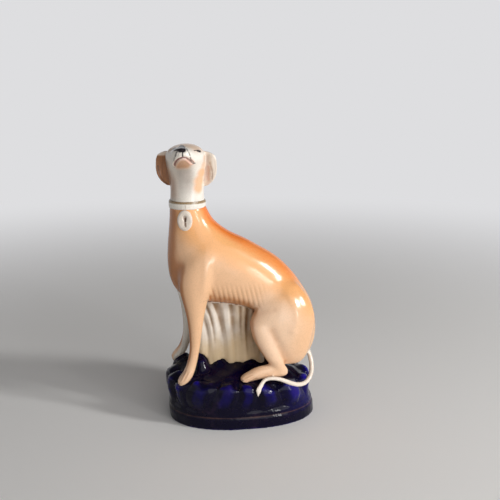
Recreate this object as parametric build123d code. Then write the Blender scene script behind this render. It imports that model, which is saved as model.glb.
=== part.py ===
from build123d import *
from math import cos, pi, radians, sin
import os

# Seated greyhound ornament in glazed earthenware, on an oval rocky base.
# The potter presses or rolls each piece of clay by itself and lutes them together with slip:
# hollow mound, floor slab, two trunk halves, head, ears, legs, feet, tail, collar, lock, support.
# Millimetres. X runs from the dog's chest (-X) to its rump (+X), its near side faces -Y, Z is up.
# The origin is the centre of the flat underside.

# Base: plain plinth band, rocky mound, hollow inside, closed by a slab with a vent hole
base_length = 103.0
base_width = 67.4
plinth_height = 8.4
groove_height = 2.0
groove_depth = 1.0
mound_height = 42.5
mound_fall = 7.0
mound_far_rise = 3.0
mound_lean = 4.2
ridge_depth = 1.3
ridge_count = 15
rock_waves = 5
rock_drift_share = 9.0
base_wall = 5.0
floor_thickness = 5.0
vent_width = 6.0
vent_side = 9.0
knoll_width = 21.0
knoll_rise = 6.0

# Dog: overall sizes from paws to crown, chest to rump, and haunch to haunch
paw_drop = 10.5
dog_height = 160.0
dog_length = 100.0
dog_width = 52.0
trunk_wall = 4.5
far_leg_lead = 2.0
far_paw_lift = 5.0
head_turn = 255.3
ear_width = 10.4
ear_thickness = 3.4

# Collar and its oval padlock
collar_height = 5.6
collar_thickness = 0.8
collar_tilt = 6.0
lock_width = 10.0
lock_height = 13.8
lock_thickness = 2.2
lock_rim = 1.2
lock_side = 0.5
keyhole_height = 7.0
keyhole_width = 1.4
keyhole_depth = 0.9

# Folded support under the belly
support_length = 49.0
support_width = 18.0
support_along = -10.0
fold_depth = 0.9
folds_each_side = 8
fold_lean = 3.0

# Tail
tail_thickness = 3.4

# The paws stand this far below the rock's top, and the head and trunk meet at the neck's joint
stand_height = mound_height - paw_drop

# Trunk stations: front x and z, back x and z, half width, from the neck to the rump
trunk_shares = (
    (-0.482, 0.740, -0.247, 0.740, 0.225),
    (-0.488, 0.672, -0.192, 0.674, 0.246),
    (-0.500, 0.594, -0.085, 0.621, 0.288),
    (-0.507, 0.512, 0.024, 0.588, 0.337),
    (-0.495, 0.431, 0.120, 0.553, 0.365),
    (-0.440, 0.362, 0.210, 0.519, 0.375),
    (-0.330, 0.325, 0.290, 0.478, 0.365),
    (-0.190, 0.316, 0.370, 0.422, 0.356),
    (-0.060, 0.303, 0.435, 0.362, 0.356),
    (0.050, 0.281, 0.487, 0.303, 0.365),
    (0.120, 0.231, 0.518, 0.231, 0.365),
    (0.180, 0.163, 0.523, 0.159, 0.346),
    (0.240, 0.094, 0.500, 0.094, 0.288),
    (0.300, 0.050, 0.450, 0.053, 0.154),
)
# Level stations of limbs: x, z, half length, half width, distance from the middle plane
shoulder_shares = (
    (-0.220, 0.606, 0.050, 0.077, 0.206),
    (-0.260, 0.537, 0.120, 0.135, 0.240),
    (-0.300, 0.463, 0.135, 0.160, 0.260),
    (-0.325, 0.400, 0.118, 0.154, 0.275),
    (-0.336, 0.350, 0.088, 0.131, 0.285),
)
foreleg_shares = (
    shoulder_shares[-1],
    (-0.336, 0.269, 0.058, 0.096, 0.292),
    (-0.340, 0.178, 0.040, 0.075, 0.300),
    (-0.348, 0.125, 0.034, 0.067, 0.312),
    (-0.364, 0.079, 0.034, 0.065, 0.327),
    (-0.385, 0.043, 0.038, 0.073, 0.342),
    (-0.409, 0.018, 0.045, 0.085, 0.352),
    (-0.428, -0.002, 0.040, 0.079, 0.354),
    (-0.430, -0.018, 0.030, 0.065, 0.352),
    (-0.424, -0.036, 0.016, 0.040, 0.344),
)
haunch_shares = (
    (0.295, 0.400, 0.070, 0.077, 0.221),
    (0.286, 0.350, 0.148, 0.138, 0.262),
    (0.274, 0.296, 0.199, 0.175, 0.298),
    (0.258, 0.248, 0.227, 0.192, 0.310),
    (0.259, 0.200, 0.221, 0.194, 0.312),
    (0.265, 0.156, 0.201, 0.185, 0.308),
    (0.282, 0.113, 0.168, 0.169, 0.300),
    (0.300, 0.075, 0.128, 0.138, 0.285),
    (0.310, 0.047, 0.080, 0.096, 0.267),
)
shin_shares = (
    (0.128, 0.270, 0.045, 0.077, 0.335),
    (0.108, 0.240, 0.076, 0.115, 0.360),
    (0.119, 0.196, 0.079, 0.123, 0.380),
    (0.144, 0.148, 0.075, 0.115, 0.398),
    (0.183, 0.094, 0.061, 0.096, 0.417),
)
hock_shares = (
    shin_shares[-1],
    (0.226, 0.050, 0.047, 0.081, 0.427),
    (0.246, 0.025, 0.030, 0.060, 0.430),
)
# Upright stations of the hind foot: x, z, half height, half width, distance from the middle plane
foot_shares = (
    (0.286, 0.029, 0.008, 0.030, 0.430),
    (0.272, 0.029, 0.020, 0.062, 0.430),
    (0.220, 0.030, 0.028, 0.073, 0.430),
    (0.140, 0.031, 0.030, 0.079, 0.433),
    (0.060, 0.023, 0.027, 0.087, 0.440),
    (0.000, 0.009, 0.022, 0.090, 0.446),
    (-0.030, 0.003, 0.016, 0.076, 0.450),
    (-0.044, 0.001, 0.008, 0.038, 0.452),
)
# Head stations in its own middle plane: throat reach and z, crown reach and z, half width
head_shares = (
    (0.1175, 0.740, -0.1175, 0.740, 0.225),
    (0.113, 0.789, -0.114, 0.794, 0.214),
    (0.111, 0.834, -0.120, 0.863, 0.219),
    (0.117, 0.863, -0.130, 0.915, 0.240),
    (0.130, 0.886, -0.105, 0.962, 0.252),
    (0.146, 0.902, -0.040, 0.989, 0.248),
    (0.161, 0.912, 0.030, 0.994, 0.229),
    (0.175, 0.920, 0.090, 0.991, 0.186),
    (0.191, 0.929, 0.135, 0.988, 0.144),
    (0.206, 0.940, 0.175, 0.987, 0.113),
    (0.216, 0.951, 0.205, 0.981, 0.077),
    (0.221, 0.961, 0.218, 0.971, 0.035),
)
# Ear stations: distance from the head's middle plane, reach, z, then shares of ear width,
# ear thickness and cupping
ear_shares = (
    (0.232, 0.010, 0.962, 0.46, 0.70, 0.02),
    (0.278, 0.005, 0.947, 0.93, 0.95, 0.13),
    (0.296, 0.000, 0.912, 1.00, 1.00, 0.19),
    (0.292, -0.003, 0.869, 0.96, 1.00, 0.19),
    (0.262, -0.003, 0.838, 0.73, 0.90, 0.12),
    (0.229, 0.000, 0.819, 0.31, 0.50, 0.03),
)
# Tail route: x as a share of the dog's length, y and z of its width and height, then its width
# and depth as shares of the tail's thickness. It lies outside the haunch and on the mound's edge
base_to_dog_length_share = 1.03
base_to_dog_width_share = 1.2962
tail_root_share = 0.25
tail_shares = (
    (0.455, 0.000, 0.100, 1.15, 1.15),
    (0.474, -0.077, 0.065, 1.20, 1.10),
    (0.486, -0.154, 0.024, 1.10, 1.10),
    (0.481, -0.210, -0.008, 1.10, 1.10),
    (0.461, -0.258, -0.034, 1.10, 1.10),
    (0.416, -0.342, -0.046, 1.10, 1.10),
    (0.351, -0.446, -0.036, 1.15, 1.10),
    (0.292, -0.502, -0.017, 1.10, 1.10),
    (0.222, -0.535, 0.006, 1.00, 1.00),
    (0.152, -0.550, 0.014, 0.92, 0.95),
    (0.110, -0.568, 0.007, 0.95, 0.80),
    (0.086, -0.602, -0.011, 1.25, 0.65),
    (0.067, -0.637, -0.028, 1.40, 0.55),
    (0.062, -0.652, -0.057, 0.15, 0.20),
)
# Mound stations: height as a share of the mound's, spread as a share of the base's
mound_shares = (
    (0.34, 0.964, 0.5),
    (0.52, 0.975, 0.9),
    (0.66, 0.980, 0.9),
    (0.735, 0.955, 0.7),
    (0.770, 0.895, 0.6),
    (0.815, 0.750, 0.3),
    (0.890, 0.520, 0.0),
    (0.965, 0.250, 0.0),
)
cavity_shares = ((0.42, 1.00), (0.60, 0.93), (0.74, 0.68), (0.82, 0.34))
collar_profile_shares = ((0.0, 0.25), (0.16, 0.85), (0.5, 1.0), (0.84, 0.85), (1.0, 0.25))
# Knolls of rock: the profile as shares of rise and width, then each knoll's place as shares of the
# base's length, half width and height, and its own length, depth and rise as shares of the sizes
# above. One lifts the far forepaw, three bank up against the support
knoll_profile_shares = ((-1.0, 1.0), (-0.1, 0.92), (0.6, 0.66), (1.0, 0.28))
knoll_shares = (
    (-0.375, 0.40, 0.735, 1.00, 1.00, 1.00),
    (-0.290, -0.12, 0.900, 0.70, 1.10, 1.50),
    (-0.160, -0.07, 0.900, 0.78, 1.15, 1.00),
    (0.036, -0.07, 0.900, 0.95, 1.15, 0.83),
)
support_top_share = 0.36
support_taper_share = 0.94
base_corner_share = 1.12

trunk_sides = 28
limb_sides = 16
small_sides = 12
mound_sides = ridge_count * 4
cavity_sides = 32
tail_sides = 8
support_levels = 3
points_per_fold = 4


# Points and stations

def dog_point(x_share, y_share, z_share):
    """A place on the dog, as shares of its length, width and height."""
    return Vector(x_share * dog_length, y_share * dog_width, stand_height + z_share * dog_height)


def between(rows, steps):
    """The stations with smooth rows worked out between each two of them."""
    result = []
    for i in range(len(rows) - 1):
        before = rows[max(i - 1, 0)]
        start, end = rows[i], rows[i + 1]
        after = rows[min(i + 2, len(rows) - 1)]
        for k in range(steps):
            t = k / steps
            row = []
            for p, a, b, q in zip(before, start, end, after):
                curve = (2 * a + (b - p) * t + (2 * p - 5 * a + 4 * b - q) * t**2
                         + (3 * a - p - 3 * b + q) * t**3) / 2
                row.append(curve)
            result.append(tuple(row))
    result.append(tuple(rows[-1]))
    return result


def ring(centre, across, deep, sides, bend=None):
    """A closed ring of points on an ellipse, bent along one direction where asked."""
    points = []
    for i in range(sides):
        angle = 2 * pi * (i + 0.5) / sides
        point = centre + across * cos(angle) + deep * sin(angle)
        if bend is not None:
            point = point + bend * cos(angle)**2
        points.append(point)
    return points


def facet(*points):
    """A flat face between points."""
    return Face(Wire.make_polygon(points, close=True))


def skin(rings):
    """A closed solid through rings of points, with two flat facets between each four points."""
    faces = []
    for low, high in zip(rings, rings[1:]):
        count = len(low)
        for i in range(count):
            j = (i + 1) % count
            if (low[i] - high[j]).length < (low[j] - high[i]).length:
                faces.append(facet(low[i], low[j], high[j]))
                faces.append(facet(low[i], high[j], high[i]))
            else:
                faces.append(facet(low[i], low[j], high[i]))
                faces.append(facet(low[j], high[j], high[i]))
    for end in (rings[0], rings[-1]):
        middle = sum(end, Vector(0, 0, 0)) / len(end)
        for a, b in zip(end, end[1:] + end[:1]):
            faces.append(facet(a, b, middle))
    body = Solid(Shell(faces))
    if body.volume < 0:
        body = Solid(Shell([-face for face in faces]))
    return body


def level_rings(rows, side, lead=0.0):
    """Level elliptical rings for a limb on one side (-1 near, 1 far)."""
    rings = []
    for x, z, half_length, half_width, y in between(rows, 2):
        centre = dog_point(x, side * y, z) + Vector(-lead, 0, 0)
        across = Vector(half_length * dog_length, 0, 0)
        deep = Vector(0, half_width * dog_width, 0)
        rings.append(ring(centre, across, deep, limb_sides))
    return rings


def profile_rings(rows, heading, origin, sides, steps, wall=0.0):
    """Rings that span from a front or under line to a back or top line, drawn in by a wall."""
    lateral = Vector(0, 0, 1).cross(heading)
    rings = []
    for front, front_z, back, back_z, half_width in between(rows, steps):
        low = origin + heading * (front * dog_length) + Vector(0, 0, stand_height + front_z * dog_height)
        high = origin + heading * (back * dog_length) + Vector(0, 0, stand_height + back_z * dog_height)
        half = (high - low) / 2
        across = half * ((half.length - wall) / half.length)
        deep = lateral * (half_width * dog_width - wall)
        rings.append(ring((low + high) / 2, across, deep, sides))
    return rings


def largest(shape):
    """The largest solid of a cut."""
    return max(shape.solids(), key=lambda solid: solid.volume)


# Base

def mound_height_at(z, x, y):
    """A level of the mound, which falls to the rump's end and rises to the far side."""
    reach = (1 + 2 * x / base_length) / 2
    share = (z - plinth_height) / (mound_height - plinth_height)
    return z + share * (mound_far_rise * 2 * y / base_width - mound_fall * reach**2)


def oval(spread, z, ridge=0.0, sides=mound_sides, inset=0.0, tilted=True):
    """An oval ring of the base, with rocky ridges where asked."""
    points = []
    for i in range(sides):
        angle = 2 * pi * (i + 0.5) / sides
        drift = rock_drift_share * z / mound_height
        waves = cos(ridge_count * angle) + cos(rock_waves * angle + drift)
        ridges = ridge * ridge_depth * waves / 2
        c, s = cos(angle), sin(angle)
        corner = (abs(c)**(2 * base_corner_share) + abs(s)**(2 * base_corner_share))
        reach = corner**(-1 / (2 * base_corner_share))
        x = reach * c * (spread * base_length / 2 + ridges - inset) - mound_lean * z / mound_height
        y = reach * s * (spread * base_width / 2 + ridges - inset)
        height = mound_height_at(z, x, y) if tilted else z
        points.append(Vector(x, y, height))
    return points


def make_vent(bottom, top):
    """The round passage that lets steam out when the clay is fired."""
    return Pos(0, 0, (bottom + top) / 2) * Cylinder(vent_width / 2, top - bottom)


def make_knoll(x_share, y_share, level_share, long_share, deep_share, rise_share):
    """A knoll of rock that stands up out of the mound."""
    x = x_share * base_length
    y = y_share * base_width / 2
    z = mound_height_at(level_share * mound_height, x, y)
    rings = []
    for height, spread in knoll_profile_shares:
        across = Vector(spread * long_share * knoll_width / 2, 0, 0)
        deep = Vector(0, spread * deep_share * knoll_width / 2, 0)
        centre = Vector(x, y, z + height * rise_share * knoll_rise)
        rings.append(ring(centre, across, deep, small_sides))
    return skin(rings)


def make_mound():
    """Plinth band, groove and rocky mound with its knolls, hollow and open below."""
    groove_top = plinth_height + groove_height
    rings = [
        oval(1.0, 0.0, tilted=False),
        oval(1.0, plinth_height - groove_depth, tilted=False),
        oval(1.0, plinth_height, inset=groove_depth / 2, tilted=False),
        oval(1.0, plinth_height + groove_height / 2, inset=groove_depth, tilted=False),
        oval(1.0, groove_top, inset=groove_depth / 2, tilted=False),
    ]
    for height, spread, ridge in mound_shares:
        rings.append(oval(spread, height * mound_height, ridge))
    solid = skin(rings)
    for knoll in knoll_shares:
        solid = solid + make_knoll(*knoll)
    return largest(solid - make_base_cavity() - make_vent(0.0, mound_height + knoll_rise))


def make_base_cavity():
    """The hollow inside the base, open at the underside."""
    rings = [oval(1.0, 0.0, inset=base_wall, sides=cavity_sides, tilted=False)]
    for height, spread in cavity_shares:
        rings.append(oval(spread, height * mound_height - base_wall / 2, inset=base_wall, sides=cavity_sides))
    return skin(rings)


def make_floor():
    """The slab luted into the underside, with its vent hole beside the middle."""
    slab = Pos(0, 0, floor_thickness / 2) * Box(base_length, base_width, floor_thickness)
    hole = Pos(vent_side, 0, floor_thickness / 2) * Cylinder(vent_width / 2, floor_thickness)
    return largest((make_base_cavity() & slab) - hole)


# Dog

def make_trunk(rows, sides, steps, wall=0.0):
    """The trunk from the neck to the rump, or its hollow inside a wall."""
    return skin(profile_rings(rows, Vector(1, 0, 0), Vector(0, 0, 0), sides, steps, wall))


def make_body_half(side, outer, cavity):
    """One pressed half of the trunk, with its shoulder, haunch and upper shin."""
    lead = far_leg_lead if side > 0 else 0.0
    reach = dog_length + dog_height
    half_space = Pos(0, side * reach / 2, reach / 2) * Box(2 * reach, reach, 2 * reach)
    half = outer & half_space
    for piece in (
        skin(level_rings(shoulder_shares, side, lead)),
        skin(level_rings(haunch_shares, side)),
        skin(level_rings(shin_shares, side)),
    ):
        half = half + (piece & half_space)
    return largest(half - cavity)


def make_foreleg(side):
    """A rolled foreleg and its paw; the far one leads a little and stands on higher rock."""
    lead = far_leg_lead if side > 0 else 0.0
    lift = far_paw_lift / dog_height if side > 0 else 0.0
    top, bottom = foreleg_shares[0][1], foreleg_shares[-1][1]
    rows = []
    for x, z, half_length, half_width, y in foreleg_shares:
        rows.append((x, z + lift * (top - z) / (top - bottom), half_length, half_width, y))
    return skin(level_rings(rows, side, lead))


def make_hind_foot(side):
    """The lower shin, the hock and the long hind foot."""
    shin = skin(level_rings(hock_shares, side))
    rings = []
    for x, z, half_height, half_width, y in between(foot_shares, 2):
        across = Vector(0, 0, half_height * dog_height)
        deep = Vector(0, half_width * dog_width, 0)
        rings.append(ring(dog_point(x, side * y, z), across, deep, small_sides))
    return shin + skin(rings)


def head_frame():
    """The head's facing direction and the place of the neck's axis on the ground."""
    heading = Vector(cos(radians(head_turn)), sin(radians(head_turn)), 0)
    neck = (trunk_shares[0][0] + trunk_shares[0][2]) / 2
    return heading, Vector(neck * dog_length, 0, 0)


def make_head():
    """The solid upper neck, skull and muzzle."""
    heading, origin = head_frame()
    return skin(profile_rings(head_shares, heading, origin, trunk_sides, 2))


def make_ear(side):
    """A hanging ear, cupped towards the muzzle."""
    heading, origin = head_frame()
    lateral = Vector(0, 0, 1).cross(heading) * side
    rings = []
    for out, reach, z, width, thick, cup in between(ear_shares, 2):
        centre = origin + lateral * (out * dog_width) + heading * (reach * dog_length)
        centre = centre + Vector(0, 0, stand_height + z * dog_height)
        across = lateral * (width * ear_width / 2)
        deep = heading * (thick * ear_thickness / 2)
        rings.append(ring(centre, across, deep, small_sides, bend=heading * (cup * ear_width)))
    return skin(rings)


def neck_radius():
    """The neck's radius where head and trunk meet."""
    return (trunk_shares[0][2] - trunk_shares[0][0]) * dog_length / 2


def collar_middle():
    """The level of the joint between head and trunk, which the collar hides."""
    return stand_height + trunk_shares[0][1] * dog_height


def make_collar_blank():
    """A raised band round the neck, higher at the throat."""
    heading, origin = head_frame()
    lateral = Vector(0, 0, 1).cross(heading)
    across = (heading + Vector(0, 0, sin(radians(collar_tilt)))).normalized()
    rings = []
    for level, out in collar_profile_shares:
        radius = neck_radius() + out * collar_thickness
        z = collar_middle() + (level - 0.5) * collar_height
        rings.append(ring(origin + Vector(0, 0, z), across * radius, lateral * radius, trunk_sides))
    return skin(rings)


def make_lock():
    """Oval padlock with a raised middle and its keyhole, hung on the collar at the throat."""
    heading, origin = head_frame()
    lateral = Vector(0, 0, 1).cross(heading)
    z = collar_middle() - (collar_height + lock_height) / 2 + lock_thickness
    centre = origin + heading * neck_radius() + lateral * lock_side + Vector(0, 0, z)
    levels = (
        (-neck_radius() / 2, 0.0),
        (lock_thickness - lock_rim / 2, 0.0),
        (lock_thickness, lock_rim),
    )
    rings = []
    for out, inset in levels:
        width = lateral * (lock_width / 2 - inset)
        height = Vector(0, 0, lock_height / 2 - inset)
        rings.append(ring(centre + heading * out, width, height, trunk_sides))
    front = Plane(origin=centre + heading * lock_thickness, x_dir=lateral, z_dir=heading)
    slot = front * Box(keyhole_width, keyhole_height, 2 * keyhole_depth)
    eye = front * Pos(0, keyhole_height / 4) * Box(2 * keyhole_width, 2 * keyhole_width, 2 * keyhole_depth)
    return skin(rings) - slot - eye


def tail_place(x_share, y_share, z_share, along_share):
    """A place of the tail: at the rump for its root, and further out on a larger base."""
    hold = min(along_share / tail_root_share, 1)
    length = max(dog_length, base_length / base_to_dog_length_share)
    width = max(dog_width, base_width / base_to_dog_width_share)
    place = dog_point(x_share, y_share, z_share)
    place.X = place.X + hold * x_share * (length - dog_length)
    place.Y = place.Y + hold * y_share * (width - dog_width)
    return place


def make_tail():
    """A rolled tail along its route, flattened to a leaf at the tip."""
    rows = between(tail_shares, 2)
    last = len(rows) - 1
    places = [tail_place(*row[:3], i / last) for i, row in enumerate(rows)]
    rings = []
    for i in range(len(places)):
        place = places[i]
        along = (places[min(i + 1, last)] - places[max(i - 1, 0)]).normalized()
        outward = Vector(place.X / base_length, place.Y / base_width, 0)
        outward = (outward - along * outward.dot(along)).normalized()
        width, depth = rows[i][3:]
        across = along.cross(outward) * (width * tail_thickness / 2)
        rings.append(ring(place, across, outward * (depth * tail_thickness / 2), tail_sides))
    return skin(rings)


def make_support_blank():
    """The folded clay that carries the trunk on the mound."""
    rings = []
    bottom = mound_shares[1][0] * mound_height
    top = stand_height + support_top_share * dog_height
    folds = 2 * folds_each_side
    sides = folds * points_per_fold
    for level in range(support_levels):
        share = level / (support_levels - 1)
        points = []
        for i in range(sides):
            angle = 2 * pi * (i + 0.5) / sides
            fold = fold_depth * cos(folds * angle)
            spread = 1 + (support_taper_share - 1) * share
            corner = (abs(cos(angle))**4 + abs(sin(angle))**4)**(-0.25)
            x = support_along + corner * cos(angle) * support_length / 2 * spread
            x = x + fold_lean * (0.5 - share) * 2
            y = corner * sin(angle) * (support_width / 2 * spread) + fold * sin(angle)
            points.append(Vector(x, y, bottom + share * (top - bottom)))
        rings.append(points)
    return skin(rings)


def build():
    """All the pieces, cut to seat on each other face to face."""
    mound = make_mound()
    floor = make_floor()
    outer = make_trunk(trunk_shares, trunk_sides, 2)
    hollow = make_trunk(trunk_shares[1:-1], limb_sides, 1, trunk_wall)
    vent = make_vent(mound_height / 2, stand_height + support_top_share * dog_height)
    body_left = make_body_half(-1, outer, hollow + vent)
    body_right = make_body_half(1, outer, hollow + vent)
    head = make_head()
    ears = [largest(make_ear(side) - head) for side in (-1, 1)]
    forelegs = [largest(make_foreleg(side) - outer - mound) for side in (-1, 1)]
    hind_feet = []
    for side, body in ((-1, body_left), (1, body_right)):
        hind_feet.append(largest(make_hind_foot(side) - body - mound))
    tail = largest(make_tail() - body_left - body_right - hind_feet[0] - mound)
    collar = largest(make_collar_blank() - outer - head)
    lock = largest(make_lock() - body_left - body_right - head - collar)
    support = make_support_blank() - outer - vent - mound - body_left - body_right
    support = largest(support - forelegs[0] - forelegs[1])
    return {
        "base_mound": mound,
        "base_floor": floor,
        "body_left": body_left,
        "body_right": body_right,
        "head": head,
        "ear_left": ears[1],
        "ear_right": ears[0],
        "foreleg_left": forelegs[0],
        "foreleg_right": forelegs[1],
        "hind_foot_left": hind_feet[0],
        "hind_foot_right": hind_feet[1],
        "tail": tail,
        "collar": collar,
        "collar_lock": lock,
        "belly_support": support,
    }


os.makedirs("parts", exist_ok=True)
for name, piece in build().items():
    export_step(piece, f"parts/{name}.step")
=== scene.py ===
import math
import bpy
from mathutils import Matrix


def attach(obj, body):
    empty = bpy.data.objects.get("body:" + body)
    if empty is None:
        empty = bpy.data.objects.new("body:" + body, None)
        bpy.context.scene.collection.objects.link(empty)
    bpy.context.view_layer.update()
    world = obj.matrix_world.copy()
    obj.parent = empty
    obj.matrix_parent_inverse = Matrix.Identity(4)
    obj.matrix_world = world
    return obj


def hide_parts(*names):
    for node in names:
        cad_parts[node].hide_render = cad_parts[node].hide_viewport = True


bl_info = {
    "name": "Seated Greyhound Ornament",
    "version": (1, 0, 0),
    "blender": (4, 5, 0),
    "location": "3D View > Sidebar > Ornament",
    "description": "Shapes, paints and glazes a seated greyhound ornament around its CAD pieces",
    "category": "Object",
}

import bmesh
import bpy
import numpy as np
from bpy.props import FloatProperty, FloatVectorProperty, PointerProperty
from mathutils import Matrix, Vector
from mathutils.bvhtree import BVHTree

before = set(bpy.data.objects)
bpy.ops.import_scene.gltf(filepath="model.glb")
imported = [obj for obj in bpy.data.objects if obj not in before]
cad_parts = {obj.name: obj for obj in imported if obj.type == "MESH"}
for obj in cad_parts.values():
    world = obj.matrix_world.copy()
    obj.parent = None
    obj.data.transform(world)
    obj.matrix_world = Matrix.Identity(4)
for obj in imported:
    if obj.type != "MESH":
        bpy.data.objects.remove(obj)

MM = 0.001
BODY = "root"

# Camera, at the photograph's angle: the photograph's width in pixels, the sensor and lens in millimetres,
# and the places in metres
PHOTO_WIDTH = 500
SENSOR_WIDTH = 36.0
LENS = 57.6
CAMERA_PLACE = Vector((-0.07396, -0.52659, 0.24842))
CAMERA_TARGET = Vector((0.00587, 0.0, 0.1173))

# Head: the way that it faces, and the neck's axis on the ground in millimetres
HEAD_TURN = math.radians(255.3)
HEAD_FORWARD = np.array((math.cos(HEAD_TURN), math.sin(HEAD_TURN), 0.0))
HEAD_SIDE = np.array((-math.sin(HEAD_TURN), math.cos(HEAD_TURN), 0.0))
NECK_AXIS = np.array((-36.45, 0.0, 0.0))


# Colours and lengths

def linear(colour):
    """An sRGB hex colour as linear red, green, blue and alpha."""
    result = []
    for start in (1, 3, 5):
        value = int(colour[start:start + 2], 16) / 255
        result.append(value / 12.92 if value <= 0.04045 else ((value + 0.055) / 1.055) ** 2.4)
    return (*result, 1.0)


def per_metre(millimetres):
    """A texture scale whose cells are that wide on Object coordinates."""
    return 1 / (millimetres * MM)


def ramp(values, start, end):
    """A smooth rise from 0 at start to 1 at end."""
    t = np.clip((values - start) / (end - start), 0, 1)
    return t * t * (3 - 2 * t)


def hill(values, width):
    """A smooth hill, 1 at zero and nearly 0 at width."""
    return np.exp(-3.0 * (values / width) ** 2)


# Settings that a user would change

def colour_property(name, description, colour):
    """A colour that a user can change, from an sRGB hex value."""
    return FloatVectorProperty(
        name=name, description=description, default=linear(colour), subtype="COLOR", size=4, min=0, max=1)


def length_property(name, description, millimetres):
    """A length that a user can change."""
    return FloatProperty(name=name, description=description, default=millimetres * MM, unit="LENGTH")


def power_property(name, description, watts):
    """A lamp's power that a user can change."""
    return FloatProperty(name=name, description=description, default=watts, unit="POWER")


class GlazeColours(bpy.types.PropertyGroup):
    """Colours of the clay, the underglaze paints and the glazes."""
    white: colour_property("White clay", "Clay body under clear glaze, left unpainted", "#F1EADF")
    fawn: colour_property("Fawn", "Paint over the flanks, chest and legs", "#EDBE94")
    # Deep fawn is laid where paint pools thick in creases, and also as painted shade down the chest, under
    # the belly and jaw, on the chin and behind the shin
    fawn_deep_and_shade: colour_property("Deep fawn", "Fawn where the paint lies thick, in creases", "#C07F4E")
    fawn_pale: colour_property("Pale fawn", "Fawn washed out over haunches and feet", "#F4D0B0")
    apricot: colour_property("Apricot", "Paint that shades the orange into the fawn", "#F3B274")
    orange: colour_property("Orange", "Paint along the back and behind the collar", "#ED7C22")
    # Ear brown is also the keyhole and the collar's seam; inside the far ear it is partly painted shade, and
    # along the near ear's fold it is painted shade
    ear: colour_property("Ear brown", "Paint inside the ears", "#A46C40")
    black: colour_property("Black", "Nose, eyes and whiskers", "#1E171B")
    red: colour_property("Dark red", "The line of the mouth", "#7A2024")
    pink: colour_property("Pink", "Lips and chin", "#F0BFAA")
    gilt: colour_property("Gilt", "Worn gilding on the collar's upper edge", "#94784F")
    # Painted shade: this grey is laid down the throat, under one side of the jaw and over the padlock, where
    # they stand in shade
    smoke: colour_property("Smoke", "Grey wash under the chin", "#B5A99F")
    support: colour_property("Support white", "Raised folds of the support", "#E6DCD0")
    support_warm: colour_property("Support cream", "Glaze that runs down the support", "#D8BF9A")
    # Support tan is laid as pooled glaze with painted shade in the folds, and as painted shade beside the
    # thigh and under the belly
    support_tan_and_shade: colour_property("Support tan", "Glaze pooled in the support's folds", "#8A6A48")
    # Cobalt is laid where the glaze thins over ridges, partly as painted shade and light, and as painted
    # light on the mound's rump end
    cobalt: colour_property("Cobalt", "Cobalt glaze where it lies thin", "#1C1286")
    cobalt_deep: colour_property("Deep cobalt", "Cobalt glaze where it lies thick", "#05021C")
    worn: colour_property("Worn edge", "Clay that shows through the glaze on the plinth's edge", "#6B4A3A")
    biscuit: colour_property("Biscuit clay", "Unglazed floor slab", "#DDD2C0")
    iron: colour_property("Iron specks", "Iron in the unglazed clay", "#7A5A3E")


class ClaySizes(bpy.types.PropertyGroup):
    """Sizes of the modelling on the pieces."""
    dog_grain: length_property("Dog grain", "Mesh size on trunk, legs, feet and tail", 0.6)
    head_grain: length_property("Head grain", "Mesh size on the head and ears", 0.34)
    trim_grain: length_property("Trim grain", "Mesh size on collar and padlock", 0.26)
    rock_grain: length_property("Rock grain", "Mesh size on the mound and support", 0.75)
    mouth_depth: length_property("Mouth depth", "Depth of the line of the mouth", 0.5)
    rib_spacing: length_property("Rib spacing", "Distance between the ribs on the flank", 3.1)
    rib_depth: length_property("Rib depth", "Depth of the grooves between the ribs", 0.24)
    fold_depth: length_property("Fold depth", "Depth of the folds of the support", 0.9)
    ridge_depth: length_property("Ridge depth", "How far the rocks stand out of the mound's side", 2.2)


class StudioLight(bpy.types.PropertyGroup):
    """Lamps, room light, floor and backdrop."""
    key: power_property("Window", "Power of the lamp on the right", 6.5)
    fill: power_property("Fill", "Power of the wide lamp in front", 8.0)
    low: power_property("Low window", "Power of the slim lamp on the right of the camera", 2.0)
    sky: FloatProperty(name="Room light", description="Strength of the light from all round", default=0.22)
    floor: colour_property("Floor", "Plain floor near the ornament", "#EFEDEA")
    backdrop: colour_property("Backdrop", "Plain backdrop behind the ornament", "#DEDEE0")
    room: colour_property("Room", "Colour of the light from all round", "#F4F4F6")


def colours():
    return bpy.context.scene.ornament_colours


def sizes():
    return bpy.context.scene.ornament_sizes


def light():
    return bpy.context.scene.ornament_light


# Clay: meshes that are melted together, smoothed, pressed and painted

# Distance at which the loose triangles of a CAD mesh are joined, in metres
WELD = 0.00001
FEWEST_VERTICES = 100
# How many rounds of filling use the same normals
SAME_NORMALS = 10
# Share of the way to its neighbours' mean that evening moves a vertex in each round
EVEN_STEP = 0.6
# How far behind or before a brush stroke its paint still takes, in millimetres
STROKE_DEPTH = 7


def grain(size):
    return size


def node_copy(name):
    """A merged copy of a CAD node's mesh, as a bmesh."""
    mesh = bmesh.new()
    mesh.from_mesh(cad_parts[name].data)
    bmesh.ops.remove_doubles(mesh, verts=mesh.verts, dist=WELD)
    return mesh


def melted(nodes, size, plugs=()):
    """One closed skin round copies of the nodes, as slip fills the joints between pieces of clay."""
    joined = bpy.data.meshes.new("clay")
    total = bmesh.new()
    for name in nodes:
        piece = node_copy(name)
        piece.to_mesh(joined)
        piece.free()
        total.from_mesh(joined)
    for place, radius, depth in plugs:
        bmesh.ops.create_cone(
            total, cap_ends=True, segments=24, radius1=radius, radius2=radius, depth=depth,
            matrix=Matrix.Translation(place))
    total.to_mesh(joined)
    total.free()
    holder = bpy.data.objects.new("clay", joined)
    bpy.context.scene.collection.objects.link(holder)
    remesh = holder.modifiers.new("Melt", "REMESH")
    remesh.mode = "VOXEL"
    remesh.voxel_size = grain(size)
    bpy.context.view_layer.update()
    result = bpy.data.meshes.new_from_object(holder.evaluated_get(bpy.context.evaluated_depsgraph_get()))
    bpy.data.objects.remove(holder)
    bpy.data.meshes.remove(joined)
    if len(result.vertices) < FEWEST_VERTICES:
        raise RuntimeError(f"melting {nodes} left no skin")
    return result


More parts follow.
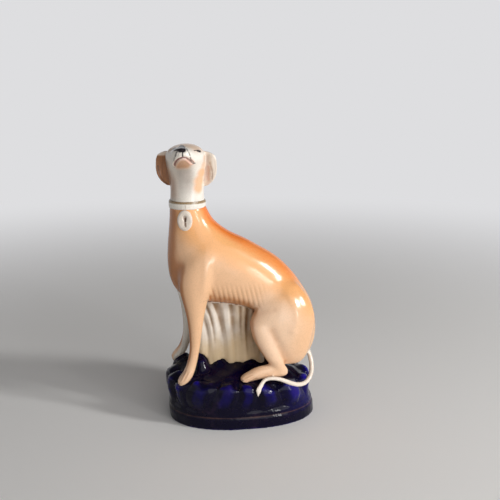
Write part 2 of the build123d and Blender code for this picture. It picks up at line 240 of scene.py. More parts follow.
class ClaySkin:
    """A skin of clay that is smoothed, pressed and painted. Its places are in millimetres."""

    def __init__(self, mesh):
        self.mesh = mesh
        self.count = len(mesh.vertices)
        places = np.empty(self.count * 3)
        mesh.vertices.foreach_get("co", places)
        self.places = places.reshape(-1, 3) / MM
        edges = np.empty(len(mesh.edges) * 2, int)
        mesh.edges.foreach_get("vertices", edges)
        self.edges = edges.reshape(-1, 2)
        self.degree = np.bincount(self.edges.ravel(), minlength=self.count)
        self.faces = [face.vertices[:] for face in mesh.polygons]
        self.refresh()

    def work_out_normals(self):
        """Moves the mesh to the places and reads its normals."""
        self.mesh.vertices.foreach_set("co", (self.places * MM).ravel())
        self.mesh.update()
        normals = np.empty(self.count * 3)
        self.mesh.vertex_normals.foreach_get("vector", normals)
        self.normals = normals.reshape(-1, 3)

    def refresh(self):
        """Works out the normals and the search tree after places have moved."""
        self.work_out_normals()
        self.tree = BVHTree.FromPolygons(self.places.tolist(), self.faces)

    def averaged(self, values):
        """Each vertex's mean of its neighbours."""
        first, second = self.edges[:, 0], self.edges[:, 1]
        shape = values.shape
        values = values.reshape(self.count, -1)
        result = np.empty_like(values)
        for k in range(values.shape[1]):
            column = values[:, k]
            total = np.bincount(first, weights=column[second], minlength=self.count)
            total += np.bincount(second, weights=column[first], minlength=self.count)
            result[:, k] = total / np.maximum(self.degree, 1)
        return result.reshape(shape)

    def even(self, rounds, share=1.0):
        """Averages facets away, then puts back what the averaging shrank."""
        share = EVEN_STEP * np.broadcast_to(np.asarray(share, float), (self.count,))[:, None]
        start = self.places
        for turn in range(rounds):
            self.places = self.places + (self.averaged(self.places) - self.places) * share
        lost = start - self.places
        for turn in range(rounds):
            lost = lost + (self.averaged(lost) - lost) * share
        self.places = self.places + lost
        self.refresh()

    def fill(self, rounds, share):
        """Fills creases as slip does, and wears nothing down."""
        for turn in range(rounds):
            if turn % SAME_NORMALS == 0:
                self.work_out_normals()
            step = self.averaged(self.places) - self.places
            lift = np.maximum(np.einsum("ij,ij->i", step, self.normals), 0) * share
            self.places = self.places + self.normals * lift[:, None]
        self.refresh()

    def softened(self, values, rounds):
        """A painted value, spread over its neighbours."""
        for turn in range(rounds):
            values = (values + self.averaged(values)) / 2
        return values

    def relief(self, rounds):
        """How far each place stands out of its surroundings: positive on ridges, negative in creases."""
        mean = self.places
        for turn in range(rounds):
            mean = self.averaged(mean)
        return np.einsum("ij,ij->i", self.places - mean, self.normals)

    def touch(self, u, v):
        """The place on the skin under a place in the photograph's frame."""
        start = np.array(CAMERA_PLACE) / MM
        hit = self.tree.ray_cast(Vector(start), ray_through(u, v))[0]
        if hit is None:
            raise RuntimeError(f"nothing lies under {u}, {v}")
        return np.array(hit)

    def line(self, points):
        """A line on the skin through places in the photograph's frame."""
        return np.array([self.touch(u, v) for u, v in points])

    def drawn(self, points, width):
        """A brush stroke through places in the photograph's frame, as wide as it is seen there."""
        line = self.line(points)
        view = np.array(ray_through(*points[len(points) // 2]))
        depth = self.places @ view
        near = np.abs(depth - line.mean(axis=0) @ view) < STROKE_DEPTH
        shown = ClaySkin.distances(self.places - depth[:, None] * view, line - (line @ view)[:, None] * view)
        return hill(shown, width) * near * (self.normals @ view < 0.1)

    def from_line(self, line):
        """Each vertex's distance from a line of points."""
        return ClaySkin.distances(self.places, line)

    @staticmethod
    def distances(places, line):
        """The distance of each place from a line of points."""
        nearest = np.full(len(places), np.inf)
        for start, end in zip(line, line[1:]):
            along = end - start
            t = np.clip((places - start) @ along / max(along @ along, 1e-9), 0, 1)
            gap = np.linalg.norm(places - start - t[:, None] * along, axis=1)
            nearest = np.minimum(nearest, gap)
        return nearest

    def press(self, amount):
        """Moves the skin inwards by an amount in millimetres at each vertex."""
        self.places = self.places - self.normals * amount[:, None]

    def paint(self, name, values):
        """Keeps a value from 0 to 1 at each vertex for the material to read."""
        layer = self.mesh.attributes.get(name) or self.mesh.attributes.new(name, "FLOAT", "POINT")
        layer.data.foreach_set("value", np.clip(values, 0, 1).astype(np.float32))


def ray_through(u, v):
    """The camera's direction through a place in the photograph's frame."""
    focal = LENS / SENSOR_WIDTH * PHOTO_WIDTH
    local = Vector(((u - PHOTO_WIDTH / 2) / focal, (PHOTO_WIDTH / 2 - v) / focal, -1))
    turn = (CAMERA_TARGET - CAMERA_PLACE).to_track_quat("-Z", "Y")
    return (turn @ local).normalized()


def mirrored(place):
    """The same place on the other side of the head."""
    across = (place - NECK_AXIS) @ HEAD_SIDE
    return place - 2 * across * HEAD_SIDE


def on_head(places):
    """Places as distance to the side, distance forward from the neck's axis, and height."""
    away = places - NECK_AXIS
    return away @ HEAD_SIDE, away @ HEAD_FORWARD, places[:, 2]


def owners(skin, nodes):
    """The number of the node that each vertex of a skin lies nearest to, within a metre."""
    trees = []
    for name in nodes:
        copy = node_copy(name)
        trees.append(BVHTree.FromBMesh(copy))
        copy.free()
    result = np.empty(skin.count, int)
    for i, place in enumerate((skin.places * MM).tolist()):
        best, best_gap = 0, 1.0
        for k, tree in enumerate(trees):
            gap = tree.find_nearest(place, best_gap)[3]
            if gap is not None and gap < best_gap:
                best, best_gap = k, gap
        result[i] = best
    return result


def finish_piece(name, mesh, make):
    """Turns a mesh into the visible piece that stands for a node."""
    mesh.materials.clear()
    mesh.materials.append(material(make))
    piece = bpy.data.objects.new("glazed_" + name, mesh)
    bpy.context.scene.collection.objects.link(piece)
    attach(piece, BODY)
    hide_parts(name)
    return piece


def smooth_faces(mesh):
    mesh.polygons.foreach_set("use_smooth", [True] * len(mesh.polygons))


def cut_pieces(skin, owner, nodes, make):
    """Cuts a painted skin into one closed piece a node, shaded across the joints as one surface."""
    mesh = skin.mesh
    layer = mesh.attributes.new("melt_normal", "FLOAT_VECTOR", "POINT")
    layer.data.foreach_set("vector", skin.normals.ravel().astype(np.float32))
    whole = bmesh.new()
    whole.from_mesh(mesh)
    whole.verts.ensure_lookup_table()
    face_owner = [int(owner[face.verts[0].index]) for face in whole.faces]
    for k, name in enumerate(nodes):
        part = whole.copy()
        part.faces.ensure_lookup_table()
        skin_face = part.faces.layers.int.new("skin_face")
        for face in part.faces:
            face[skin_face] = 1
        others = [face for face, own in zip(part.faces, face_owner) if own != k]
        bmesh.ops.delete(part, geom=others, context="FACES")
        rim = [edge for edge in part.edges if len(edge.link_faces) == 1]
        bmesh.ops.holes_fill(part, edges=rim, sides=0)
        bmesh.ops.triangulate(part, faces=[face for face in part.faces if len(face.verts) > 4])
        piece_mesh = bpy.data.meshes.new(name)
        part.to_mesh(piece_mesh)
        part.free()
        keep_normals(piece_mesh)
        finish_piece(name, piece_mesh, make)
    whole.free()
    bpy.data.meshes.remove(mesh)


def keep_normals(mesh):
    """Shades a cut piece with the normals of the skin that it came from."""
    smooth_faces(mesh)
    melt = np.empty(len(mesh.vertices) * 3)
    mesh.attributes["melt_normal"].data.foreach_get("vector", melt)
    melt = melt.reshape(-1, 3)
    skin_face = np.empty(len(mesh.polygons), int)
    mesh.attributes["skin_face"].data.foreach_get("value", skin_face)
    corners = np.empty(len(mesh.loops), int)
    mesh.loops.foreach_get("vertex_index", corners)
    totals = np.empty(len(mesh.polygons), int)
    mesh.polygons.foreach_get("loop_total", totals)
    normals = melt[corners] * np.repeat(skin_face, totals)[:, None]
    mesh.normals_split_custom_set(normals.tolist())
    mesh.attributes.remove(mesh.attributes["melt_normal"])
    mesh.attributes.remove(mesh.attributes["skin_face"])


# Materials

def node(tree, kind, values=None, links=None, **settings):
    """Adds one shader node, sets its properties and input values, and links its inputs."""
    made = tree.nodes.new(kind)
    for name, value in settings.items():
        setattr(made, name, value)
    for socket, value in (values or {}).items():
        made.inputs[socket].default_value = value
    for socket, source in (links or {}).items():
        tree.links.new(source, made.inputs[socket])
    return made


def new_material(name):
    """A material with an empty node tree and its output."""
    material = bpy.data.materials.new(name)
    material.use_nodes = True
    tree = material.node_tree
    tree.nodes.clear()
    output = node(tree, "ShaderNodeOutputMaterial")
    coordinates = node(tree, "ShaderNodeTexCoord").outputs["Object"]
    return material, tree, output, coordinates


def lay_paint(tree, under, paint, name, noise, spread):
    """Lays a paint over a colour or a link where the piece is painted with it, with a brushed edge."""
    painted = node(tree, "ShaderNodeAttribute", attribute_name=name).outputs["Fac"]
    broken = node(
        tree, "ShaderNodeMath", {1: spread}, {0: noise, 2: painted}, operation="MULTIPLY_ADD").outputs[0]
    laid = node(
        tree, "ShaderNodeMapRange", {"From Min": spread / 2, "From Max": 1 + spread / 2}, {"Value": broken},
        interpolation_type="SMOOTHSTEP").outputs["Result"]
    values, links = {7: tuple(paint)}, {0: laid}
    if isinstance(under, bpy.types.NodeSocket):
        links[6] = under
    else:
        values[6] = tuple(under)
    return node(tree, "ShaderNodeMix", values, links, data_type="RGBA").outputs[2]


def glaze(tree, output, coordinates, colour, roughness, ior, shine, ripple, depth):
    """Clear or coloured glaze: a glossy skin with a faint ripple from the kiln.

    The ripple's width and depth are in millimetres.
    """
    wave = node(
        tree, "ShaderNodeTexNoise", {"Scale": per_metre(ripple), "Detail": 2.0, "Roughness": 0.45},
        {"Vector": coordinates}).outputs["Fac"]
    bump = node(
        tree, "ShaderNodeBump", {"Strength": 0.35, "Distance": depth * MM},
        {"Height": wave}).outputs["Normal"]
    surface = node(
        tree, "ShaderNodeBsdfPrincipled", {"Roughness": roughness, "IOR": ior, "Specular IOR Level": shine},
        {"Base Color": colour, "Normal": bump})
    tree.links.new(surface.outputs["BSDF"], output.inputs["Surface"])
    return surface


def painted_earthenware():
    """Lead-glazed earthenware, painted under the glaze.

    White clay is brushed with fawn and orange metal-oxide paint and dipped in clear lead glaze.
    The eye sees warm washes that thin out over raised clay and pool in creases, under a soft wet gloss.
    Painted shade darkens the creases, the chest, the belly's underside, the chin and the throat, and a
    painted highlight pales the raised clay.
    """
    material, tree, output, coordinates = new_material("painted_lead_glazed_earthenware")
    palette = colours()
    cloud = node(
        tree, "ShaderNodeTexNoise", {"Scale": per_metre(7), "Detail": 4.0, "Roughness": 0.6},
        {"Vector": coordinates}).outputs["Fac"]
    stretch = node(
        tree, "ShaderNodeMapping", {"Rotation": (0.0, math.radians(35), 0.0), "Scale": (0.35, 1.0, 1.6)},
        {"Vector": coordinates}).outputs["Vector"]
    streak = node(
        tree, "ShaderNodeTexNoise", {"Scale": per_metre(2.4), "Detail": 3.0, "Roughness": 0.55},
        {"Vector": stretch}).outputs["Fac"]
    speck = node(
        tree, "ShaderNodeTexNoise", {"Scale": per_metre(0.9), "Detail": 2.0},
        {"Vector": coordinates}).outputs["Fac"]
    fawn = lay_paint(tree, palette.fawn, palette.fawn_pale, "pale", cloud, 0.3)
    fawn = lay_paint(tree, fawn, palette.apricot, "apricot", cloud, 0.3)
    # Deep fawn over the fawn, as pooled paint in creases and as painted shade
    fawn = lay_paint(tree, fawn, palette.fawn_deep_and_shade, "crease", cloud, 0.3)
    # Painted shade grey over the white clay
    colour = lay_paint(tree, palette.white, palette.smoke, "smoke", cloud, 0.4)
    painted = node(tree, "ShaderNodeAttribute", attribute_name="fawn").outputs["Fac"]
    colour = node(tree, "ShaderNodeMix", {}, {0: painted, 6: colour, 7: fawn}, data_type="RGBA").outputs[2]
    # thin lays white over raised clay, partly as painted highlight
    for name, noise, spread in (
            ("orange", streak, 0.3), ("thin", cloud, 0.2), ("pink", cloud, 0.2), ("ear", streak, 0.4),
            ("red", speck, 0.2), ("gilt", speck, 0.5), ("black", speck, 0.3)):
        paint = palette.white if name == "thin" else getattr(palette, name)
        colour = lay_paint(tree, colour, paint, name, noise, spread)
    grey = node(
        tree, "ShaderNodeMapRange", {"From Min": 0.3, "From Max": 0.7, "To Min": 0.93, "To Max": 1.04},
        {"Value": speck}).outputs["Result"]
    tone = node(tree, "ShaderNodeCombineColor", {}, {0: grey, 1: grey, 2: grey}).outputs["Color"]
    colour = node(
        tree, "ShaderNodeMix", {0: 1.0}, {6: colour, 7: tone}, data_type="RGBA",
        blend_type="MULTIPLY").outputs[2]
    glaze(tree, output, coordinates, colour, roughness=0.19, ior=1.5, shine=0.5, ripple=3.0, depth=0.12)
    return material


def support_earthenware():
    """Clear-glazed earthenware left off-white, where the glaze runs into the folds.

    Pooled glaze with painted shade looks tan and grey in the hollows, painted shade is tan beside the thigh
    and under the belly, and the raised folds stay pale and shiny.
    """
    material, tree, output, coordinates = new_material("clear_glazed_earthenware_folds")
    palette = colours()
    cloud = node(
        tree, "ShaderNodeTexNoise", {"Scale": per_metre(5), "Detail": 4.0, "Roughness": 0.6},
        {"Vector": coordinates}).outputs["Fac"]
    colour = lay_paint(tree, palette.support, palette.support_warm, "warm", cloud, 0.6)
    # Tan over the support as pooled glaze and painted shade
    colour = lay_paint(tree, colour, palette.support_tan_and_shade, "crease", cloud, 0.4)
    glaze(tree, output, coordinates, colour, roughness=0.2, ior=1.5, shine=0.5, ripple=3.0, depth=0.12)
    return material


def cobalt_glaze():
    """Cobalt-stained lead glaze over rocky clay.

    It is blue-black where it lies thick and ultramarine where it thins over ridges, partly as painted shade
    and light, and lighter on the rump end as painted light, with wet highlights.
    """
    material, tree, output, coordinates = new_material("cobalt_glazed_earthenware")
    palette = colours()
    cloud = node(
        tree, "ShaderNodeTexNoise", {"Scale": per_metre(9), "Detail": 4.0, "Roughness": 0.62},
        {"Vector": coordinates}).outputs["Fac"]
    # Lighter cobalt over ridges, partly painted shade and light, and over the rump end as painted light
    colour = lay_paint(tree, palette.cobalt_deep, palette.cobalt, "thin", cloud, 0.5)
    colour = lay_paint(tree, colour, palette.worn, "worn", cloud, 0.8)
    glaze(tree, output, coordinates, colour, roughness=0.08, ior=1.5, shine=0.17, ripple=4.5, depth=0.7)
    return material


def biscuit_clay():
    """Biscuit-fired clay, left bare under the base.

    It is matt and chalky, with fine grit and small iron specks.
    """
    material, tree, output, coordinates = new_material("biscuit_fired_clay")
    palette = colours()
    grit = node(
        tree, "ShaderNodeTexNoise", {"Scale": per_metre(0.7), "Detail": 3.0},
        {"Vector": coordinates}).outputs["Fac"]
    iron = node(
        tree, "ShaderNodeTexVoronoi", {"Scale": per_metre(4)}, {"Vector": coordinates}).outputs["Distance"]
    speck = node(
        tree, "ShaderNodeMapRange", {"From Min": 0.05, "From Max": 0.09, "To Min": 1.0, "To Max": 0.0},
        {"Value": iron}).outputs["Result"]
    colour = node(
        tree, "ShaderNodeMix", {6: tuple(palette.biscuit), 7: tuple(palette.iron)}, {0: speck},
        data_type="RGBA").outputs[2]
    bump = node(
        tree, "ShaderNodeBump", {"Strength": 0.5, "Distance": 0.2 * MM}, {"Height": grit}).outputs["Normal"]
    surface = node(
        tree, "ShaderNodeBsdfPrincipled", {"Roughness": 0.85, "IOR": 1.5},
        {"Base Color": colour, "Normal": bump})
    tree.links.new(surface.outputs["BSDF"], output.inputs["Surface"])
    return material


# The floor fades into the plain backdrop between these distances from the ornament, in metres
FLOOR_REACH = 0.2
BACKDROP_REACH = 0.9


def plain_studio():
    """Matt painted board: a pale floor that keeps the shadow, and a plain backdrop further out."""
    material, tree, output, coordinates = new_material("plain_matt_board")
    board = node(
        tree, "ShaderNodeBsdfPrincipled",
        {"Base Color": tuple(light().floor), "Roughness": 0.9, "IOR": 1.45})
    plain = node(tree, "ShaderNodeEmission", {"Color": tuple(light().backdrop), "Strength": 1.0})
    seen = node(tree, "ShaderNodeLightPath")
    direct = node(
        tree, "ShaderNodeMath", {}, {0: seen.outputs["Is Camera Ray"], 1: seen.outputs["Is Glossy Ray"]},
        operation="MAXIMUM").outputs[0]
    direct = node(
        tree, "ShaderNodeMath", {}, {0: direct, 1: seen.outputs["Is Transmission Ray"]},
        operation="MAXIMUM").outputs[0]
    away = node(tree, "ShaderNodeVectorMath", {}, {0: coordinates}, operation="LENGTH").outputs["Value"]
    far = node(
        tree, "ShaderNodeMapRange", {"From Min": FLOOR_REACH, "From Max": BACKDROP_REACH}, {"Value": away},
        interpolation_type="SMOOTHSTEP").outputs["Result"]
    share = node(tree, "ShaderNodeMath", {}, {0: direct, 1: far}, operation="MULTIPLY").outputs[0]
    mixed = node(
        tree, "ShaderNodeMixShader", {}, {0: share, 1: board.outputs["BSDF"], 2: plain.outputs["Emission"]})
    tree.links.new(mixed.outputs["Shader"], output.inputs["Surface"])
    return material


# The materials made so far, by the name of the function that makes each
MATERIALS = {}


def material(make):
    """A material, made the first time that a piece asks for it."""
    if make.__name__ not in MATERIALS:
        MATERIALS[make.__name__] = make()
    return MATERIALS[make.__name__]


# Paint and modelling of the dog

# Lines on the dog, in the photograph's frame: the haunch's raised upper edge, the edge between the shin and
# the haunch behind it, the crease over the thigh, the ridge down the elbow and the hollow behind it
HAUNCH_RIDGE = ((262, 273), (270, 277), (277, 282), (284, 288.5), (290, 296.5), (294.5, 305), (297, 314),
                (297, 323), (293.5, 331))
SHIN = ((272, 331), (277, 341), (281.5, 351), (285.5, 361))
THIGH = ((261, 311), (267, 309.5), (273, 309.5))
ELBOW = ((206.5, 246), (206, 262), (205, 278), (203.5, 291))
BEHIND_ELBOW = ((214, 250), (213, 268), (212, 284), (211.5, 297))
# What is modelled along each line on both sides: its depth, where a negative one stands out, its width and
# the levels between which it fades out upwards, in millimetres
MODELLED_LINES = (
    (SHIN, 0.6, 5.0, (60, 74)),
    (THIGH, 0.45, 3.2, (120, 140)),
    (HAUNCH_RIDGE, -0.65, 4.8, (88, 104)),
    (ELBOW, -0.45, 4.2, (108, 122)),
    (BEHIND_ELBOW, 0.5, 4.5, (106, 120)),
)
# Grooves between the toes of the near paw and hind foot, in the photograph's frame
TOES = (((185.5, 371), (182.5, 376), (180.5, 380.5)), ((188.0, 372.5), (185.5, 377), (183.5, 381.5)),
        ((183.2, 371.5), (180.5, 375.5), (178.8, 378.8)), ((254, 377.8), (249, 379.6), (245.5, 381.2)),
        ((252, 375.2), (247.5, 376.8), (244.6, 378.6)), ((257, 378.6), (252, 381), (249, 382)))
TOE_WIDTH = 0.9
TOE_DEPTH = 0.45
# Where the middle groove of a forepaw and of a hind foot starts and ends, out to the side, in millimetres
PAW_GROOVE = ((-42.0, 18.4, 36.5), (-47.4, 18.4, 29.0))
FOOT_GROOVE = ((3.0, 23.0, 37.8), (-4.8, 23.4, 31.6))
# The grooves' spacing, width and depth on a paw and on a foot, and how much closer they start
PAW_TOES = (2.1, 0.8, 0.6)
FOOT_TOES = (2.6, 0.9, 0.6)
TOE_GATHER = 0.75
# How far the far forepaw leads the near one and stands above it, in millimetres
FAR_PAW_LEAD = 2.0
FAR_PAW_LIFT = 5.0
# The line of the spine along the middle plane, as places along the base and heights in millimetres
SPINE = ((-24.7, 148), (-22.5, 143), (-16, 136), (-4.5, 129.2), (9.3, 122.1), (23.3, 113.5), (36.1, 101.1),
         (45.6, 86.9), (51.3, 74.1), (52.5, 62), (50.5, 52))
# Zones where joints are filled with slip. Each pair is where a zone starts to fade in or out and where that
# ends, along the base (FRONT, BACK) or in height (RISE, TOP), in millimetres
SHOULDER_BACK = (-12, -4)
SHOULDER_RISE = (80, 98)
HAUNCH_FRONT = (-4, 6)
HAUNCH_RISE = (70, 86)
SHIN_FRONT = (4, 10)
SHIN_TOP = (60, 70)
BREAST_BACK = (-36, -26)
BREAST_RISE = (86, 100)
BREAST_TOP = (122, 136)
# A strip behind the foreleg where less slip is laid: its middle and width along the base, and its top
FORELEG_BACK = -19
FORELEG_BACK_WIDTH = 6
FORELEG_BACK_TOP = (108, 128)
# How many times slip is laid into the joints and into the breast, and how often the facets are evened
JOINT_ROUNDS = 170
BREAST_ROUNDS = 240
DOG_ROUNDS = 60
# How much of the evening the thin limbs and the tail take, and how far the tail is pressed in all round
LIMB_SHARE = 0.35
TAIL_SHARE = 0.12
TAIL_THINNING = 0.2
# Ribs: how far they lean for each millimetre of height, the level that the lean starts from, and their zone
RIB_LEAN = 0.25
RIB_LEVEL = 88
RIB_FRONT = (-27, -22)
RIB_BACK = (8, 16)
RIB_RISE = (80, 84)
RIB_TOP = (92, 101)
# Orange along the spine: how far it reaches at the neck, how much further at the rump, and its zone
ORANGE_REACH = 9
ORANGE_SPREAD = 5
ORANGE_WIDENS = (-20, 20)
ORANGE_RISE = (76, 108)
ORANGE_FADES = (-12, 12)
# Apricot outside the orange
APRICOT_REACH = (17, 34)
APRICOT_RISE = (62, 88)
# Pale fawn round the haunch's middle and over the feet
HAUNCH_MIDDLE = np.array((14.0, 0.0, 68.0))
HAUNCH_PALE = (10, 32)
FEET_PALE = (34, 62)
# White inside of the forelegs above the paws, and round the tail's root
PAW_TOP = (44, 56)
TAIL_ROOT = np.array((45.0, -2.0, 45.0))
TAIL_ROOT_REACH = (4.0, 6.5)
# Painted shade: down the front of the chest and leg, under the belly and behind the shin
CHEST_RISE = (34, 50)
CHEST_BACK = (-25, -12)
BELLY_RISE = (60, 66)
SHIN_SHADE_WIDTH = 5.5


def press_toes(skin, near, far, spacing, width, depth):
    """Three grooves between the toes, from the top of the paw forwards and down."""
    side = np.array((0.0, 1.0, 0.0))
    for k in (-1, 0, 1):
        line = [near + side * k * spacing * TOE_GATHER, far + side * k * spacing]
        skin.press(hill(skin.from_line(line), width) * depth)


def on_side(places, side, lead=0.0, lift=0.0):
    """Places given for the +Y side, put on a side of the dog, moved forwards and up."""
    return [np.array((x - lead, side * y, z + lift)) for x, y, z in places]


def melt_joints(skin, owner, nodes):
    """Fills the joints at shoulders and haunches with slip and takes out the facets."""
    x, y, z = skin.places.T
    shoulder = ramp(z, *SHOULDER_RISE) * (1 - ramp(x, *SHOULDER_BACK))
    behind_leg = np.exp(-((x - FORELEG_BACK) / FORELEG_BACK_WIDTH) ** 2) * (1 - ramp(z, *FORELEG_BACK_TOP))
    haunch = ramp(x, *HAUNCH_FRONT) * ramp(z, *HAUNCH_RISE)
    shin = ramp(x, *SHIN_FRONT) * (1 - ramp(z, *SHIN_TOP)) * 0.35
    skin.fill(JOINT_ROUNDS, np.clip(shoulder * (1 - 0.88 * behind_leg) + haunch + shin + 0.05, 0, 1))
    breast = (1 - ramp(x, *BREAST_BACK)) * ramp(z, *BREAST_RISE) * (1 - ramp(z, *BREAST_TOP))
    skin.fill(BREAST_ROUNDS, breast)
    slim = np.ones(skin.count)
    for k, name in enumerate(nodes):
        if name.startswith(("foreleg", "hind_foot")):
            slim[owner == k] = LIMB_SHARE
        if name == "tail":
            slim[owner == k] = TAIL_SHARE
    skin.even(DOG_ROUNDS, skin.softened(slim, 12))
    tail = skin.softened((owner == nodes.index("tail")).astype(float), 4)
    skin.press(TAIL_THINNING * tail)
    skin.refresh()


def model_dog(skin):
    """Ribs, toes, creases and the haunch's upper edge on the trunk, legs and feet. Gives the grooves."""
    x, y, z = skin.places.T
    lean = x + RIB_LEAN * (z - RIB_LEVEL)
    wave = 0.5 - 0.5 * np.cos(2 * math.pi * lean * MM / sizes().rib_spacing)
    zone = ramp(x, *RIB_FRONT) * (1 - ramp(x, *RIB_BACK)) * ramp(z, *RIB_RISE) * (1 - ramp(z, *RIB_TOP))
    ribs = wave ** 2 * zone * ramp(np.abs(skin.normals[:, 1]), 0.2, 0.6)
    skin.press(ribs * sizes().rib_depth / MM)
    for side, lead, lift in ((-1, 0.0, 0.0), (1, FAR_PAW_LEAD, FAR_PAW_LIFT)):
        press_toes(skin, *on_side(PAW_GROOVE, side, lead, lift), *PAW_TOES)
        press_toes(skin, *on_side(FOOT_GROOVE, side), *FOOT_TOES)
        flip = np.array((1.0, -side, 1.0))
        for points, depth, width, top in MODELLED_LINES:
            line = skin.line(points) * flip
            skin.press(depth * hill(skin.from_line(line), width) * (1 - ramp(z, *top)))
    toes = np.zeros(skin.count)
    for line in TOES:
        toes = np.maximum(toes, skin.drawn(line, TOE_WIDTH))
    skin.press(TOE_DEPTH * toes)
    skin.refresh()
    return np.maximum(ribs, toes)


def white_parts(skin, owner, nodes):
    """How much fawn each place takes: none inside the forelegs and round the tail's root."""
    fawn = np.ones(skin.count)
    edge = 0.25 + 0.45 * (1 - ramp(skin.places[:, 2], *PAW_TOP))
    for k, name in enumerate(nodes):
        mine = owner == k
        if name == "tail":
            fawn[mine] = 0.24
        if name.startswith("foreleg"):
            inner = skin.normals[:, 1] * (1 if name.endswith("left") else -1)
            fawn[mine] = (1 - ramp(inner, edge - 0.15, edge + 0.15))[mine]
    root = np.linalg.norm(skin.places - TAIL_ROOT, axis=1)
    return fawn * ramp(root, *TAIL_ROOT_REACH)


def shaded_parts(skin, grooves, relief):
    """Where the paint is darker: pooled thick and painted shade in creases and grooves, and painted shade
    down the chest, under the belly and behind the shin.
    """
    x, y, z = skin.places.T
    # Painted shade down the chest and leg where they face away from the window lamp, under the belly and
    # behind the shin
    chest = ramp(-skin.normals[:, 0], 0.5, 0.82) * ramp(z, *CHEST_RISE) * (1 - 0.4 * ramp(x, *CHEST_BACK))
    under = ramp(-skin.normals[:, 2], 0.25, 0.8) * ramp(z, *BELLY_RISE)
    shin = skin.line(SHIN)
    gap = np.minimum(skin.from_line(shin), skin.from_line(shin * np.array((1.0, -1.0, 1.0))))
    breast = (1 - ramp(x, *BREAST_BACK)) * ramp(z, *BREAST_RISE)
    crease = ramp(-relief, 0.04, 0.4) * (0.5 - 0.45 * breast) + 0.4 * skin.softened(grooves, 1)
    return crease + chest + 0.7 * under + 0.28 * hill(gap, SHIN_SHADE_WIDTH)


def paint_dog(skin, owner, nodes, grooves):
    """Orange back shaded through apricot to fawn, pale haunches and feet, white inner legs and tail."""
    x, y, z = skin.places.T
    back = skin.from_line([np.array((along, 0.0, height)) for along, height in SPINE])
    reach = ORANGE_REACH + ORANGE_SPREAD * ramp(x, *ORANGE_WIDENS)
    orange = (1 - ramp(back, reach * 0.3, reach * 1.7)) * ramp(z, *ORANGE_RISE)
    orange = orange * (1.1 - 0.4 * ramp(x, *ORANGE_FADES))
    orange[owner == nodes.index("tail")] = 0
    apricot = (1 - ramp(back, *APRICOT_REACH)) * (0.2 + 0.8 * ramp(z, *APRICOT_RISE))
    haunch = np.linalg.norm((skin.places - HAUNCH_MIDDLE)[:, [0, 2]], axis=1)
    relief = skin.softened(skin.relief(14), 4)
    skin.paint("fawn", skin.softened(white_parts(skin, owner, nodes), 3))
    skin.paint("orange", orange)
    skin.paint("apricot", apricot)
    skin.paint("pale", 0.75 * (1 - ramp(haunch, *HAUNCH_PALE)) + (1 - ramp(z, *FEET_PALE)) * 0.5)
    # Pooled paint and painted shade
    skin.paint("crease", shaded_parts(skin, grooves, relief))
    # Paler paint on raised clay: thinner paint, with a painted highlight
    skin.paint("thin", 0.2 * ramp(relief, 0.2, 0.6))


# A plug that closes the vent under the belly, which the support hides: its place, radius and depth in metres
VENT_PLUG = (Vector((0.0, 0.0, 0.083)), 0.0035, 0.014)


class ORNAMENT_OT_dog(bpy.types.Operator):
    """Melts the trunk, legs, feet and tail together, and models and paints them"""
    bl_idname = "ornament.dog"
    bl_label = "Trunk, Legs and Tail"

    def execute(self, context):
        nodes = ["body_left", "body_right", "foreleg_left", "foreleg_right", "hind_foot_left",
                 "hind_foot_right", "tail"]
        skin = ClaySkin(melted(nodes, sizes().dog_grain, [VENT_PLUG]))
        owner = owners(skin, nodes)
        melt_joints(skin, owner, nodes)
        grooves = model_dog(skin)
        paint_dog(skin, owner, nodes, grooves)
        cut_pieces(skin, owner, nodes, painted_earthenware)
        return {"FINISHED"}


# Paint and modelling of the head

# The face's lines and places, in the photograph's frame. A cheek's patch has a radius in millimetres and a
# strength, and a brush stroke its paint, its width in millimetres and its strength
MOUTH = ((174.4, 165.4), (174.9, 162.8), (176.6, 160.4), (179.2, 158.6), (183, 157.5), (186.2, 158.0),
         (188.6, 159.6), (190.6, 161.4), (192.0, 162.6))
NOSE = (181.4, 149.4)
NOSTRILS = ((179.8, 150.8), (184.0, 150.6))
LIP = ((182.4, 151.5), (182.7, 156.3))
EYE = (198.0, 150.8)
CHIN = ((178.6, 164.6), (182.4, 164.2), (186.4, 164.0))
